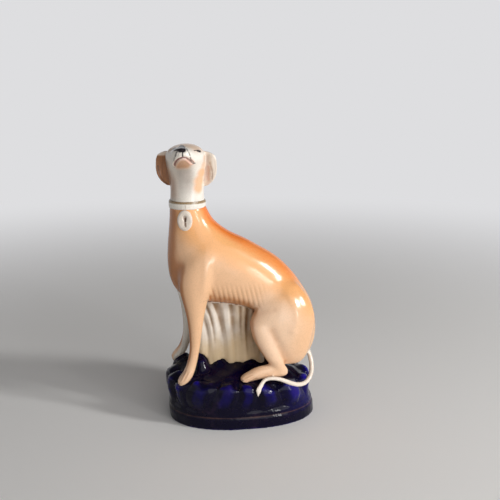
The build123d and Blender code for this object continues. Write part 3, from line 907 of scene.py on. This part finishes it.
# The throat's line, down which grey is painted as shade
THROAT = ((184, 171), (185.5, 179), (186, 186), (186, 193))
CHEEK = (((204.4, 158), 2.2, 0.6), ((203.6, 165), 3.0, 0.6), ((201.6, 173), 4.0, 0.95),
         ((199.4, 181), 4.5, 0.95), ((198.6, 187.4), 4.0, 0.95))
FOLD = ((209.6, 163), (211.4, 168.6), (212.4, 174), (211.8, 179))
STROKES = (
    ("black", ((179.6, 149.6), (183.2, 149.9)), 2.8, 1.8),
    ("black", ((179.8, 147.9), (183.4, 148.1)), 2.0, 2.0),
    ("black", ((177.2, 150.2), (178.4, 149.4)), 1.0, 1.3),
    ("black", ((179.6, 147.0), (180.8, 145.8), (182.8, 145.8), (184.0, 147.2)), 0.9, 1.2),
    ("black", ((182.4, 151.0), (182.6, 156.4)), 0.75, 1.1),
    ("black", ((172.8, 149.8), (174.6, 149.1), (176.8, 149.4)), 0.7, 1.2),
    ("black", ((174.6, 149.2), (175.6, 149.3)), 1.6, 2.0),
    ("black", ((194.2, 150.6), (196.4, 150.3), (198.0, 150.6)), 0.5, 1.1),
    ("black", ((197.8, 150.8), (200.0, 151.4)), 1.15, 1.3),
    ("black", ((177.2, 151.6), (176.0, 153.6), (175.3, 156.2)), 1.2, 0.75),
    ("black", ((174.6, 157.6), (173.9, 160.6)), 1.1, 0.5),
    ("black", ((178.8, 153.0), (177.8, 156.4)), 0.6, 0.45),
    ("black", ((186.6, 148.9), (188.0, 151.2)), 0.7, 0.75),
    ("black", ((188.8, 152.6), (190.0, 155.4)), 0.7, 0.75),
    ("black", ((190.4, 157.4), (191.2, 160.4)), 0.95, 0.75),
    ("black", ((192.2, 160.0), (193.6, 162.4)), 0.7, 0.6),
    ("black", ((193.0, 163.4), (195.0, 163.2)), 0.75, 0.85),
    ("black", ((157.8, 166.0), (158.8, 171.6), (161.0, 177.6), (164.4, 181.8), (167.4, 184.0)), 1.0, 0.55),
    ("black", ((162.7, 157.0), (162.4, 168.0), (163.4, 178.0)), 0.9, 0.3),
    ("black", ((166.4, 160.0), (166.8, 172.0), (167.8, 181.0)), 1.0, 0.22),
    # The near ear's fold is painted in ear brown as painted shade
    ("ear", FOLD, 0.8, 0.6),
    ("orange", ((208.0, 167), (208.6, 183)), 3.2, 0.3),
)
# How many times slip is laid into the joint of ear and head, and how often the facets are evened
EAR_JOINT_ROUNDS = 60
HEAD_ROUNDS = 70
# The ears: the middle of their cups and half their width and height, the cups' depth, where the near ear's
# cup ends, its flap's middle, width and height, where the rims start and where the flap pales, in
# millimetres
EAR_MIDDLE = (15.2, 175.5)
EAR_HALF = (5.2, 10.5)
EAR_CUP = 1.1
FLAP_INNER = (14, 16)
FLAP_MIDDLE = 17.2
FLAP_WIDTH = 3.0
FLAP_RISE = 0.9
EAR_RIM_SIDE = (19.8, 20.6)
EAR_RIM_TOP = (182, 184)
FLAP_PALE = (13.0, 16.0)
# Depth, where a negative one stands out, and width of what is modelled on the face, in millimetres
NOSE_SHAPE = (-0.6, 3.4)
NOSTRIL_SHAPE = (0.45, 1.2)
LIP_SHAPE = (0.2, 0.7)
MOUTH_WIDTH = 0.75
LOWER_LIP = (-0.3, 1.1)
LOWER_LIP_GAP = 1.5
EYE_SHAPE = (-0.4, 3.4)
FOLD_SHAPE = (0.4, 1.0)
# Zones of the head's paint: each pair is where a paint starts to fade in or out and where that ends,
# forwards of the neck's axis (FRONT), in height (LEVEL), to the side (SIDE) or out from a line (REACH), in
# millimetres
BACK_FRONT = (-5, 1)
CROWN_FRONT = (9, 17)
COLLAR_EDGE_LEVEL = (153.5, 159)
COLLAR_EDGE_FRONT = (-8, -2)
# The jaw's, neck's and throat's zones place painted shade: grey and deep fawn under the jaw on one side,
# grey down the throat
JAW_LEVEL = (164, 182)
JAW_SIDE = (1, 10)
NECK_LEVEL = (153, 158)
THROAT_REACH = (2.0, 10.0)
THROAT_LEVEL = (154, 170)
PINK_SIDE = (-4, 2)
PINK_DROP = (-0.5, 1.5)
# Widths of painted lines, in millimetres
NOSTRIL_PAINT = 1.6
RED_WIDTH = 0.8
PINK_GAP = 1.3
PINK_WIDTH = 1.3
CHIN_WIDTH = 5.5


def model_ears(skin, owner, nodes):
    """Cups the ears, and folds the flap of the near one forwards."""
    side, forward, height = on_head(skin.places)
    out = np.abs(side)
    across = np.clip((out - EAR_MIDDLE[0]) / EAR_HALF[0], -1, 1)
    along = np.clip((height - EAR_MIDDLE[1]) / EAR_HALF[1], -1, 1)
    front = ramp(skin.normals @ HEAD_FORWARD, 0.2, 0.7)
    for k, name in enumerate(nodes):
        if not name.startswith("ear"):
            continue
        cup = (1 - across ** 2) * (1 - along ** 2)
        flap = 0.0
        if name == "ear_left":
            cup = 0.6 * cup * (1 - ramp(out, *FLAP_INNER))
            flap = FLAP_RISE * hill(out - FLAP_MIDDLE, FLAP_WIDTH) * (1 - along ** 2)
        skin.press(np.where(owner == k, (EAR_CUP * cup - flap) * front, 0))
    skin.refresh()


def press_round(skin, place, shape):
    """Presses a round dent or raises a round lump at a place."""
    depth, width = shape
    skin.press(depth * hill(np.linalg.norm(skin.places - place, axis=1), width))


def model_head(skin, owner, nodes):
    """Mouth, nose, eyes and cupped ears. Gives the line of the mouth."""
    model_ears(skin, owner, nodes)
    mouth = skin.line(MOUTH)
    press_round(skin, skin.touch(*NOSE), NOSE_SHAPE)
    for u, v in NOSTRILS:
        press_round(skin, skin.touch(u, v), NOSTRIL_SHAPE)
    skin.press(LIP_SHAPE[0] * hill(skin.from_line(skin.line(LIP)), LIP_SHAPE[1]))
    gap = skin.from_line(mouth)
    lower = LOWER_LIP[0] * hill(gap - LOWER_LIP_GAP, LOWER_LIP[1])
    skin.press(sizes().mouth_depth / MM * hill(gap, MOUTH_WIDTH) + lower)
    eye = skin.touch(*EYE)
    for centre in (eye, mirrored(eye)):
        press_round(skin, centre, EYE_SHAPE)
    skin.press(FOLD_SHAPE[0] * skin.drawn(FOLD, FOLD_SHAPE[1]))
    skin.refresh()
    return mouth


def fawn_of_head(skin):
    """Fawn over the back of the neck, the crown and the cheeks, white above the collar in front."""
    side, forward, height = on_head(skin.places)
    crown = ramp(skin.normals[:, 2], 0.35, 0.8) * (1 - ramp(forward, *CROWN_FRONT))
    fawn = np.maximum(1 - ramp(forward, *BACK_FRONT), 0.6 * crown)
    for (u, v), radius, strength in CHEEK:
        near = skin.touch(u, v)
        for centre, share in ((near, 1.0), (mirrored(near), 0.55)):
            away = np.linalg.norm(skin.places - centre, axis=1) / radius
            fawn = np.maximum(fawn, share * (1 - ramp(away, 0.55, 1.4)) * strength)
    above_collar = 1 - ramp(height, *COLLAR_EDGE_LEVEL)
    return fawn * (1 - above_collar * ramp(forward, *COLLAR_EDGE_FRONT))


def paint_ears(skin, owner, nodes, fawn):
    """Brown inside the far ear, partly painted shade, and pale fawn over the near one. Changes fawn, and
    gives the brown.
    """
    side, forward, height = on_head(skin.places)
    out = np.abs(side)
    facing = ramp(skin.normals @ HEAD_FORWARD, 0.1, 0.5)
    rim = np.clip(ramp(out, *EAR_RIM_SIDE) + ramp(height, *EAR_RIM_TOP), 0, 1)
    brown = np.zeros(skin.count)
    far = owner == nodes.index("ear_right")
    # The far ear's brown inside is partly painted shade
    brown[far] = (facing * (1 - rim))[far]
    fawn[far] = (0.8 - 0.5 * facing * rim)[far]
    near = owner == nodes.index("ear_left")
    fawn[near] = (0.45 - 0.2 * ramp(out, *FLAP_PALE) * facing)[near]
    return brown


def paint_head(skin, owner, nodes, mouth):
    """White face and throat, fawn crown, cheeks and neck, brown inside the ears, black features, and painted
    shade: grey down the throat, grey and deep fawn under one side of the jaw, deep fawn on the chin and in
    creases.
    """
    side, forward, height = on_head(skin.places)
    fawn = fawn_of_head(skin)
    brown = paint_ears(skin, owner, nodes, fawn)
    paints = {"black": np.zeros(skin.count), "ear": brown, "orange": np.zeros(skin.count)}
    for name, points, width, strength in STROKES:
        paints[name] = np.maximum(paints[name], strength * skin.drawn(points, width))
    black = paints["black"]
    for u, v in NOSTRILS:
        away = np.linalg.norm(skin.places - skin.touch(u, v), axis=1)
        black = np.maximum(black, 1.4 * hill(away, NOSTRIL_PAINT))
    gap = skin.from_line(mouth)
    below = ramp(skin.touch(*MOUTH[len(MOUTH) // 2])[2] - height, *PINK_DROP)
    pink = 0.72 * hill(gap - PINK_GAP, PINK_WIDTH) * (0.35 + 0.65 * below) * ramp(side, *PINK_SIDE)
    # The chin is painted fawn, and deepened as painted shade
    chin = ramp(skin.drawn(CHIN, CHIN_WIDTH), 0.1, 0.8)
    # Painted shade under the jaw on the side away from the window lamp: grey and deep fawn
    under = (1 - ramp(height, *JAW_LEVEL)) * ramp(-side, *JAW_SIDE)
    fawn = np.maximum(fawn, 0.8 * chin)
    fawn = np.maximum(fawn, 0.5 * under * ramp(height, *NECK_LEVEL))
    # Painted shade: grey down the throat
    throat = skin.from_line(skin.line(THROAT))
    smoke = 0.75 * (1 - ramp(throat, *THROAT_REACH)) * (0.3 + 0.7 * ramp(height, *THROAT_LEVEL))
    relief = skin.softened(skin.relief(14), 3)
    skin.paint("fawn", skin.softened(fawn, 6))
    skin.paint("smoke", np.maximum(smoke, 0.7 * under))
    skin.paint("orange", skin.softened(paints["orange"], 4))
    skin.paint("ear", skin.softened(paints["ear"], 3))
    # Pooled paint and painted shade in creases, and painted shade on the chin and under the jaw
    skin.paint("crease", ramp(-relief, 0.02, 0.16) + 0.6 * chin + 0.8 * under)
    # Paler paint on raised places: thinner paint, with a painted highlight
    skin.paint("thin", 0.4 * ramp(relief, 0.05, 0.25))
    skin.paint("black", black)
    skin.paint("red", 1.6 * hill(gap, RED_WIDTH))
    skin.paint("pink", pink)


class ORNAMENT_OT_head(bpy.types.Operator):
    """Melts the head and ears together, and models and paints the face"""
    bl_idname = "ornament.head"
    bl_label = "Head and Ears"

    def execute(self, context):
        nodes = ["head", "ear_left", "ear_right"]
        skin = ClaySkin(melted(nodes, sizes().head_grain))
        owner = owners(skin, nodes)
        ears = skin.softened((owner > 0).astype(float), 6)
        skin.fill(EAR_JOINT_ROUNDS, 0.5)
        skin.even(HEAD_ROUNDS, 1 - 0.8 * ears)
        mouth = model_head(skin, owner, nodes)
        paint_head(skin, owner, nodes, mouth)
        cut_pieces(skin, owner, nodes, painted_earthenware)
        return {"FINISHED"}


# Collar: how often it is evened, the level of its middle, its tilt in the CAD and how much of that is taken
# out, how far it is lifted, where its gilt edge starts above the middle, and the worn place in the gilt and
# the seam below it, in the photograph's frame with their widths in millimetres
COLLAR_ROUNDS = 10
COLLAR_MIDDLE = 150.4
COLLAR_TILT = math.radians(6)
COLLAR_LEVELLED_SHARE = 0.85
COLLAR_LIFT = 0.6
GILT_EDGE = (0.7, 1.6)
GILT_WORN = (194, 203)
GILT_WORN_WIDTH = 3.0
COLLAR_SEAM = ((185.3, 205.6), (185.5, 208.2))
COLLAR_SEAM_WIDTH = 0.6
# Padlock: how many times slip is laid round its rim and how often it is evened, how far it hangs below its
# place in the CAD, and the two parts of its keyhole, in the photograph's frame with their widths
LOCK_SLIP_ROUNDS = 30
LOCK_ROUNDS = 8
LOCK_DROP = 1.1
KEYHOLE = ((185.2, 218.4), (185.4, 221.6))
KEYHOLE_WIDTH = 1.1
KEYHOLE_FOOT = ((185.6, 223.4), (185.8, 226.6))
KEYHOLE_FOOT_WIDTH = 0.9


class ORNAMENT_OT_collar(bpy.types.Operator):
    """Rounds the collar band and paints the gilt line on its upper edge"""
    bl_idname = "ornament.collar"
    bl_label = "Collar"

    def execute(self, context):
        skin = ClaySkin(melted(["collar"], sizes().trim_grain))
        skin.even(COLLAR_ROUNDS)
        side, forward, height = on_head(skin.places)
        tilt = forward * math.tan(COLLAR_TILT)
        level = height - COLLAR_MIDDLE - tilt
        skin.places[:, 2] += COLLAR_LIFT - COLLAR_LEVELLED_SHARE * tilt
        skin.refresh()
        away = np.linalg.norm(skin.places - skin.touch(*GILT_WORN), axis=1)
        worn = 0.3 * hill(away, GILT_WORN_WIDTH)
        skin.paint("gilt", ramp(level, *GILT_EDGE) * (0.85 - worn))
        skin.paint("ear", 0.45 * skin.drawn(COLLAR_SEAM, COLLAR_SEAM_WIDTH))
        smooth_faces(skin.mesh)
        finish_piece("collar", skin.mesh, painted_earthenware)
        return {"FINISHED"}


class ORNAMENT_OT_lock(bpy.types.Operator):
    """Rounds the padlock, paints its keyhole, and lays painted shade over it, deepest round its rim"""
    bl_idname = "ornament.lock"
    bl_label = "Padlock"

    def execute(self, context):
        skin = ClaySkin(melted(["collar_lock"], sizes().trim_grain))
        skin.fill(LOCK_SLIP_ROUNDS, 0.5)
        skin.even(LOCK_ROUNDS)
        skin.places[:, 2] -= LOCK_DROP
        skin.refresh()
        relief = skin.softened(skin.relief(10), 3)
        upper = skin.drawn(KEYHOLE, KEYHOLE_WIDTH)
        lower = skin.drawn(KEYHOLE_FOOT, KEYHOLE_FOOT_WIDTH)
        skin.paint("ear", 0.9 * np.maximum(upper, 0.8 * lower))
        skin.paint("black", 0.75 * np.maximum(upper, 0.7 * lower))
        # Painted shade: grey over the whole padlock, deeper round its rim, with a little fawn
        skin.paint("smoke", 0.25 + ramp(-relief, 0.01, 0.1) * 0.5)
        skin.paint("fawn", np.full(skin.count, 0.15))
        smooth_faces(skin.mesh)
        finish_piece("collar_lock", skin.mesh, painted_earthenware)
        return {"FINISHED"}


# Support: how often it is evened, the folds' spacing and that of the finer ones between them, how far they
# lean, where along the base the lean ends, the top that they hang from, and the drop over which the lean
# comes in, in millimetres
SUPPORT_ROUNDS = 8
FOLD_SPACING = 7.4
FINE_FOLD_SPACING = 3.1
FOLD_LEAN = 10.0
FOLD_LEAN_ENDS = (-30, 8)
SUPPORT_TOP = 85
FOLD_DROP = 14
# Zones where the folds are deep, where the glaze is cream, and where shade is painted tan beside the thigh
# and at the top under the belly. Each pair is where a zone starts to fade in or out and where that ends, in
# millimetres
FOLD_RISE = (48, 72)
CREAM_TOP = (44, 66)
CREAM_FRONT = (-16, 6)
SHADE_FRONT = (-6, 10)
SHADE_RISE = (40, 60)
SHADOW_UNDER_BELLY = (74, 84)


class ORNAMENT_OT_support(bpy.types.Operator):
    """Models the leaning folds of the support under the belly"""
    bl_idname = "ornament.support"
    bl_label = "Folded Support"

    def execute(self, context):
        skin = ClaySkin(melted(["belly_support"], sizes().rock_grain))
        skin.even(SUPPORT_ROUNDS)
        x, y, z = skin.places.T
        slant = FOLD_LEAN * (1 - ramp(x, *FOLD_LEAN_ENDS))
        lean = x - slant * (1 - np.exp(-(SUPPORT_TOP - z) / FOLD_DROP)) + 0.7 * np.sin(z / 8 + x / 9)
        # The sines inside the cosines make the folds wander, so that no two are alike
        wave = 0.5 + 0.5 * np.cos(2 * math.pi * lean / FOLD_SPACING + 1.9 * np.sin(lean / 5.3))
        finer = 0.5 + 0.5 * np.cos(2 * math.pi * lean / FINE_FOLD_SPACING + 1.6 * np.sin(z / 12 + lean / 4))
        upright = 1 - ramp(np.abs(skin.normals[:, 2]), 0.3, 0.7)
        high = ramp(z, *FOLD_RISE)
        groove = (1 - wave) ** 2 * upright * (0.2 + 0.8 * high)
        finer = (1 - finer) * upright * (0.5 + 0.5 * high)
        skin.press((groove + 0.22 * finer) * sizes().fold_depth / MM)
        skin.refresh()
        shade = 0.4 * ramp(x, *SHADE_FRONT) * ramp(z, *SHADE_RISE) + 0.2 * ramp(z, *SHADOW_UNDER_BELLY)
        skin.paint("warm", 0.15 + 0.8 * (1 - ramp(z, *CREAM_TOP)) + 0.6 * ramp(x, *CREAM_FRONT))
        # Tan in the folds as pooled glaze and painted shade, and painted shade beside the thigh and under
        # the belly
        skin.paint("crease", 0.7 * groove + 0.12 * finer + shade)
        smooth_faces(skin.mesh)
        finish_piece("belly_support", skin.mesh, support_earthenware)
        return {"FINISHED"}


# Mound: how many times slip is laid on its bank and how often it is evened, half its length and width at the
# plinth, and its middle along the base, in millimetres
BANK_ROUNDS = 90
MOUND_ROUNDS = 6
MOUND_HALF = (51.5, 33.7)
MOUND_MIDDLE = -2
# Clefts between the rocks round the mound's side, in degrees with 0 at the rump's end
CLEFTS = (-176, -156, -137, -115, -97, -83, -62, -31, -4, 22, 45, 64, 84, 106, 129, 154)
# Low rocks beside the paws: their place, radius and height in millimetres
LOW_ROCKS = (((-35.0, -24.5), 6.0, 2.4), ((-12.0, -22.0), 8.0, 1.4), ((16.0, -18.5), 6.0, 1.0),
             ((-24.0, 20.0), 8.0, 1.6), ((6.0, 22.0), 8.0, 1.2))


# Zones of the mound. Each pair is where a zone starts to fade in or out and where that ends, in millimetres:
# the bank on which the knolls run together, the side's rocks, the side above the plinth, and the top
BANK_MIDDLE = -2
BANK_RISE = (33, 37)
BANK_SIDE = (12, 18)
BANK_FRONT = (-38, -30)
BANK_BACK = (10, 18)
ROCK_RISE = (12, 22)
SIDE_RISE = (11.5, 15)
TOP_RISE = (20, 26)
CREST_TOP = (27, 31)
# Painted light: where the mound's rump end, on the window lamp's side, is laid in lighter cobalt
LIT_END_FRONT = (10, 50)
LIT_END_RISE = (3, 12)
# Where the side starts and the rim between it and the top, as shares of the way out from the middle, and
# how far the rocks stand up on the rim in millimetres
SIDE_SHARE = (0.80, 0.92)
RIM_SHARE = 0.9
RIM_WIDTH_SHARE = 0.12
RIM_RISE = 1.6
# The underside's level that stays flat, and the plinth's edge where the glaze is worn
FLAT_BELOW = 0.6
WORN_EDGE = 8.6
WORN_WIDTH = 0.7


def shape_rocks(skin):
    """Cuts clefts between the rocks, breaks them up with lumps and chips, and raises the low rocks.

    Gives, for each place, how far it is from a cleft, how much it belongs to the rocks and how much to the
    mound's side.
    """
    x, y, z = skin.places.T
    turn = np.degrees(np.arctan2(y / MOUND_HALF[1], (x - MOUND_MIDDLE) / MOUND_HALF[0]))
    turn = turn + 2.5 * np.sin(z / 5 + x / 17)
    away = np.hypot(x / MOUND_HALF[0], y / MOUND_HALF[1])
    outside = ramp(away, *SIDE_SHARE)
    rocks = np.zeros(skin.count)
    for start, end in zip(CLEFTS, CLEFTS[1:] + (CLEFTS[0] + 360,)):
        share = np.clip(((turn - start) % 360) / (end - start), 0, 1)
        rocks = np.maximum(rocks, np.sin(math.pi * share) ** 0.6)
    rise = ramp(z, *ROCK_RISE) * outside
    # Lumps are about 13 mm across and chips about 7 mm, each bent by a slower wave
    lumps = np.sin(x / 4.3 + 0.8 * np.sin(y / 5.1)) * np.sin(y / 3.9 + 0.9 * np.sin(x / 6.2))
    chips = np.sin(x / 2.1 + 1.3 * np.sin(z / 3.3)) * np.sin(y / 2.3 + 1.1 * np.sin(x / 2.9))
    chips = chips * np.sin(z / 2.7)
    top = ramp(skin.normals[:, 2], 0.3, 0.8) * ramp(z, *TOP_RISE)
    side = outside * ramp(z, *SIDE_RISE)
    skin.press(
        (0.62 - rocks) * rise * sizes().ridge_depth / MM + 0.4 * lumps * top + 0.3 * lumps * side
        + 0.22 * chips * np.maximum(side, 1.4 * top))
    rim = hill(away - RIM_SHARE, RIM_WIDTH_SHARE) * top
    skin.places[:, 2] += (rocks - 0.6) * rim * RIM_RISE
    for place, radius, height in LOW_ROCKS:
        gap = np.linalg.norm(skin.places[:, :2] - np.array(place), axis=1)
        skin.places[:, 2] += hill(gap, radius) * height * top
    flat = z < FLAT_BELOW
    skin.places[flat, 2] = z[flat]
    skin.places[:, 2] = np.maximum(skin.places[:, 2], 0)
    skin.refresh()
    return rocks, rise, outside


class ORNAMENT_OT_mound(bpy.types.Operator):
    """Models the rocks of the mound and the groove of the plinth"""
    bl_idname = "ornament.mound"
    bl_label = "Rocky Mound"

    def execute(self, context):
        skin = ClaySkin(melted(["base_mound"], sizes().rock_grain))
        x, y, z = skin.places.T
        bank = ramp(z, *BANK_RISE) * (1 - ramp(np.abs(y - BANK_MIDDLE), *BANK_SIDE))
        bank = bank * ramp(x, *BANK_FRONT) * (1 - ramp(x, *BANK_BACK))
        skin.fill(BANK_ROUNDS, bank)
        skin.even(MOUND_ROUNDS)
        x, y, z = skin.places.T
        rocks, rise, outside = shape_rocks(skin)
        relief = skin.softened(skin.relief(10), 2)
        crest = ramp(rocks, 0.7, 1.0) * rise * (1 - ramp(z, *CREST_TOP))
        # Painted light on the rump end; over ridges and crests the glaze is lighter where thin, partly as
        # painted shade and light
        right = 0.35 * ramp(x, *LIT_END_FRONT) * outside * ramp(z, *LIT_END_RISE)
        skin.paint("thin", ramp(relief, 0.15, 0.7) * 0.6 + 0.3 * crest + right)
        skin.paint("worn", 0.4 * hill(z - WORN_EDGE, WORN_WIDTH))
        smooth_faces(skin.mesh)
        finish_piece("base_mound", skin.mesh, cobalt_glaze)
        return {"FINISHED"}


class ORNAMENT_OT_floor_slab(bpy.types.Operator):
    """Gives the floor slab its bare biscuit clay"""
    bl_idname = "ornament.floor_slab"
    bl_label = "Floor Slab"

    def execute(self, context):
        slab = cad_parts["base_floor"]
        slab.data.materials.clear()
        slab.data.materials.append(material(biscuit_clay))
        return {"FINISHED"}


# Studio

# Half outline of the floor that rises to a backdrop all round, as reach and height in metres
SWEEP = ((0.0, 0.0), (2.0, 0.0), (2.35, 0.06), (2.6, 0.25), (2.75, 0.6), (2.8, 1.2))
SWEEP_STEPS = 64
SWEEP_WELD = 0.0005
# Each lamp's name, place, aim, width and height in metres
LAMPS = (
    ("window", (0.92, -0.55, 0.6), (0.0, 0.0, 0.1), 0.14, 0.22),
    ("fill", (0.55, -1.2, 0.5), (0.0, 0.0, 0.1), 1.3, 1.3),
    ("low window", (0.66, -0.94, 0.22), (0.0, 0.0, 0.08), 0.1, 0.4),
)


def lamp(name, place, aim, width, height, power):
    """A soft lamp aimed at a place."""
    data = bpy.data.lights.new(name, "AREA")
    data.shape = "RECTANGLE"
    data.size = width
    data.size_y = height
    data.energy = power
    made = bpy.data.objects.new(name, data)
    made.location = place
    made.rotation_euler = (Vector(aim) - Vector(place)).to_track_quat("-Z", "Y").to_euler()
    bpy.context.scene.collection.objects.link(made)


class ORNAMENT_OT_stage(bpy.types.Operator):
    """Sets the floor, backdrop, lamps and camera"""
    bl_idname = "ornament.stage"
    bl_label = "Studio"

    def execute(self, context):
        scene = context.scene
        sweep = bmesh.new()
        points = [sweep.verts.new((reach, 0.0, height)) for reach, height in SWEEP]
        edges = [sweep.edges.new(pair) for pair in zip(points, points[1:])]
        bmesh.ops.spin(
            sweep, geom=points + edges, cent=(0, 0, 0), axis=(0, 0, 1), angle=2 * math.pi,
            steps=SWEEP_STEPS, use_merge=True)
        bmesh.ops.remove_doubles(sweep, verts=sweep.verts, dist=SWEEP_WELD)
        bmesh.ops.recalc_face_normals(sweep, faces=sweep.faces)
        mesh = bpy.data.meshes.new("backdrop")
        sweep.to_mesh(mesh)
        sweep.free()
        smooth_faces(mesh)
        mesh.materials.append(plain_studio())
        backdrop = bpy.data.objects.new("backdrop", mesh)
        scene.collection.objects.link(backdrop)
        powers = (light().key, light().fill, light().low)
        for (name, place, aim, width, height), power in zip(LAMPS, powers):
            lamp(name, place, aim, width, height, power)
        world = bpy.data.worlds.new("room")
        world.use_nodes = True
        room = world.node_tree.nodes["Background"]
        room.inputs["Color"].default_value = tuple(light().room)
        room.inputs["Strength"].default_value = light().sky
        scene.world = world
        data = bpy.data.cameras.new("camera")
        data.lens = LENS
        data.sensor_width = SENSOR_WIDTH
        camera = bpy.data.objects.new("camera", data)
        camera.location = CAMERA_PLACE
        camera.rotation_euler = (CAMERA_TARGET - CAMERA_PLACE).to_track_quat("-Z", "Y").to_euler()
        scene.collection.objects.link(camera)
        scene.camera = camera
        scene.view_settings.view_transform = "Standard"
        return {"FINISHED"}


# Panel and registration

class ORNAMENT_PT_pieces(bpy.types.Panel):
    """Lists the ornament's colours, sizes, lamps and pieces"""
    bl_label = "Seated Greyhound"
    bl_idname = "ORNAMENT_PT_pieces"
    bl_space_type = "VIEW_3D"
    bl_region_type = "UI"
    bl_category = "Ornament"

    def draw(self, context):
        scene = context.scene
        for title, group in (("Colours", scene.ornament_colours), ("Sizes", scene.ornament_sizes),
                             ("Light", scene.ornament_light)):
            box = self.layout.box()
            box.label(text=title)
            for name in group.bl_rna.properties.keys():
                if name not in ("rna_type", "name"):
                    box.prop(group, name)
        for operator in PIECES:
            self.layout.operator(operator.bl_idname)


PIECES = (
    ORNAMENT_OT_dog,
    ORNAMENT_OT_head,
    ORNAMENT_OT_collar,
    ORNAMENT_OT_lock,
    ORNAMENT_OT_support,
    ORNAMENT_OT_mound,
    ORNAMENT_OT_floor_slab,
    ORNAMENT_OT_stage,
)
CLASSES = (GlazeColours, ClaySizes, StudioLight, *PIECES, ORNAMENT_PT_pieces)


def register():
    for item in CLASSES:
        bpy.utils.register_class(item)
    bpy.types.Scene.ornament_colours = PointerProperty(type=GlazeColours)
    bpy.types.Scene.ornament_sizes = PointerProperty(type=ClaySizes)
    bpy.types.Scene.ornament_light = PointerProperty(type=StudioLight)


def unregister():
    del bpy.types.Scene.ornament_light
    del bpy.types.Scene.ornament_sizes
    del bpy.types.Scene.ornament_colours
    for item in reversed(CLASSES):
        bpy.utils.unregister_class(item)


def main():
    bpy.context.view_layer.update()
    register()
    bpy.ops.ornament.stage()
    bpy.ops.ornament.dog()
    bpy.ops.ornament.head()
    bpy.ops.ornament.collar()
    bpy.ops.ornament.lock()
    bpy.ops.ornament.support()
    bpy.ops.ornament.mound()
    bpy.ops.ornament.floor_slab()


if __name__ == "__main__":
    main()
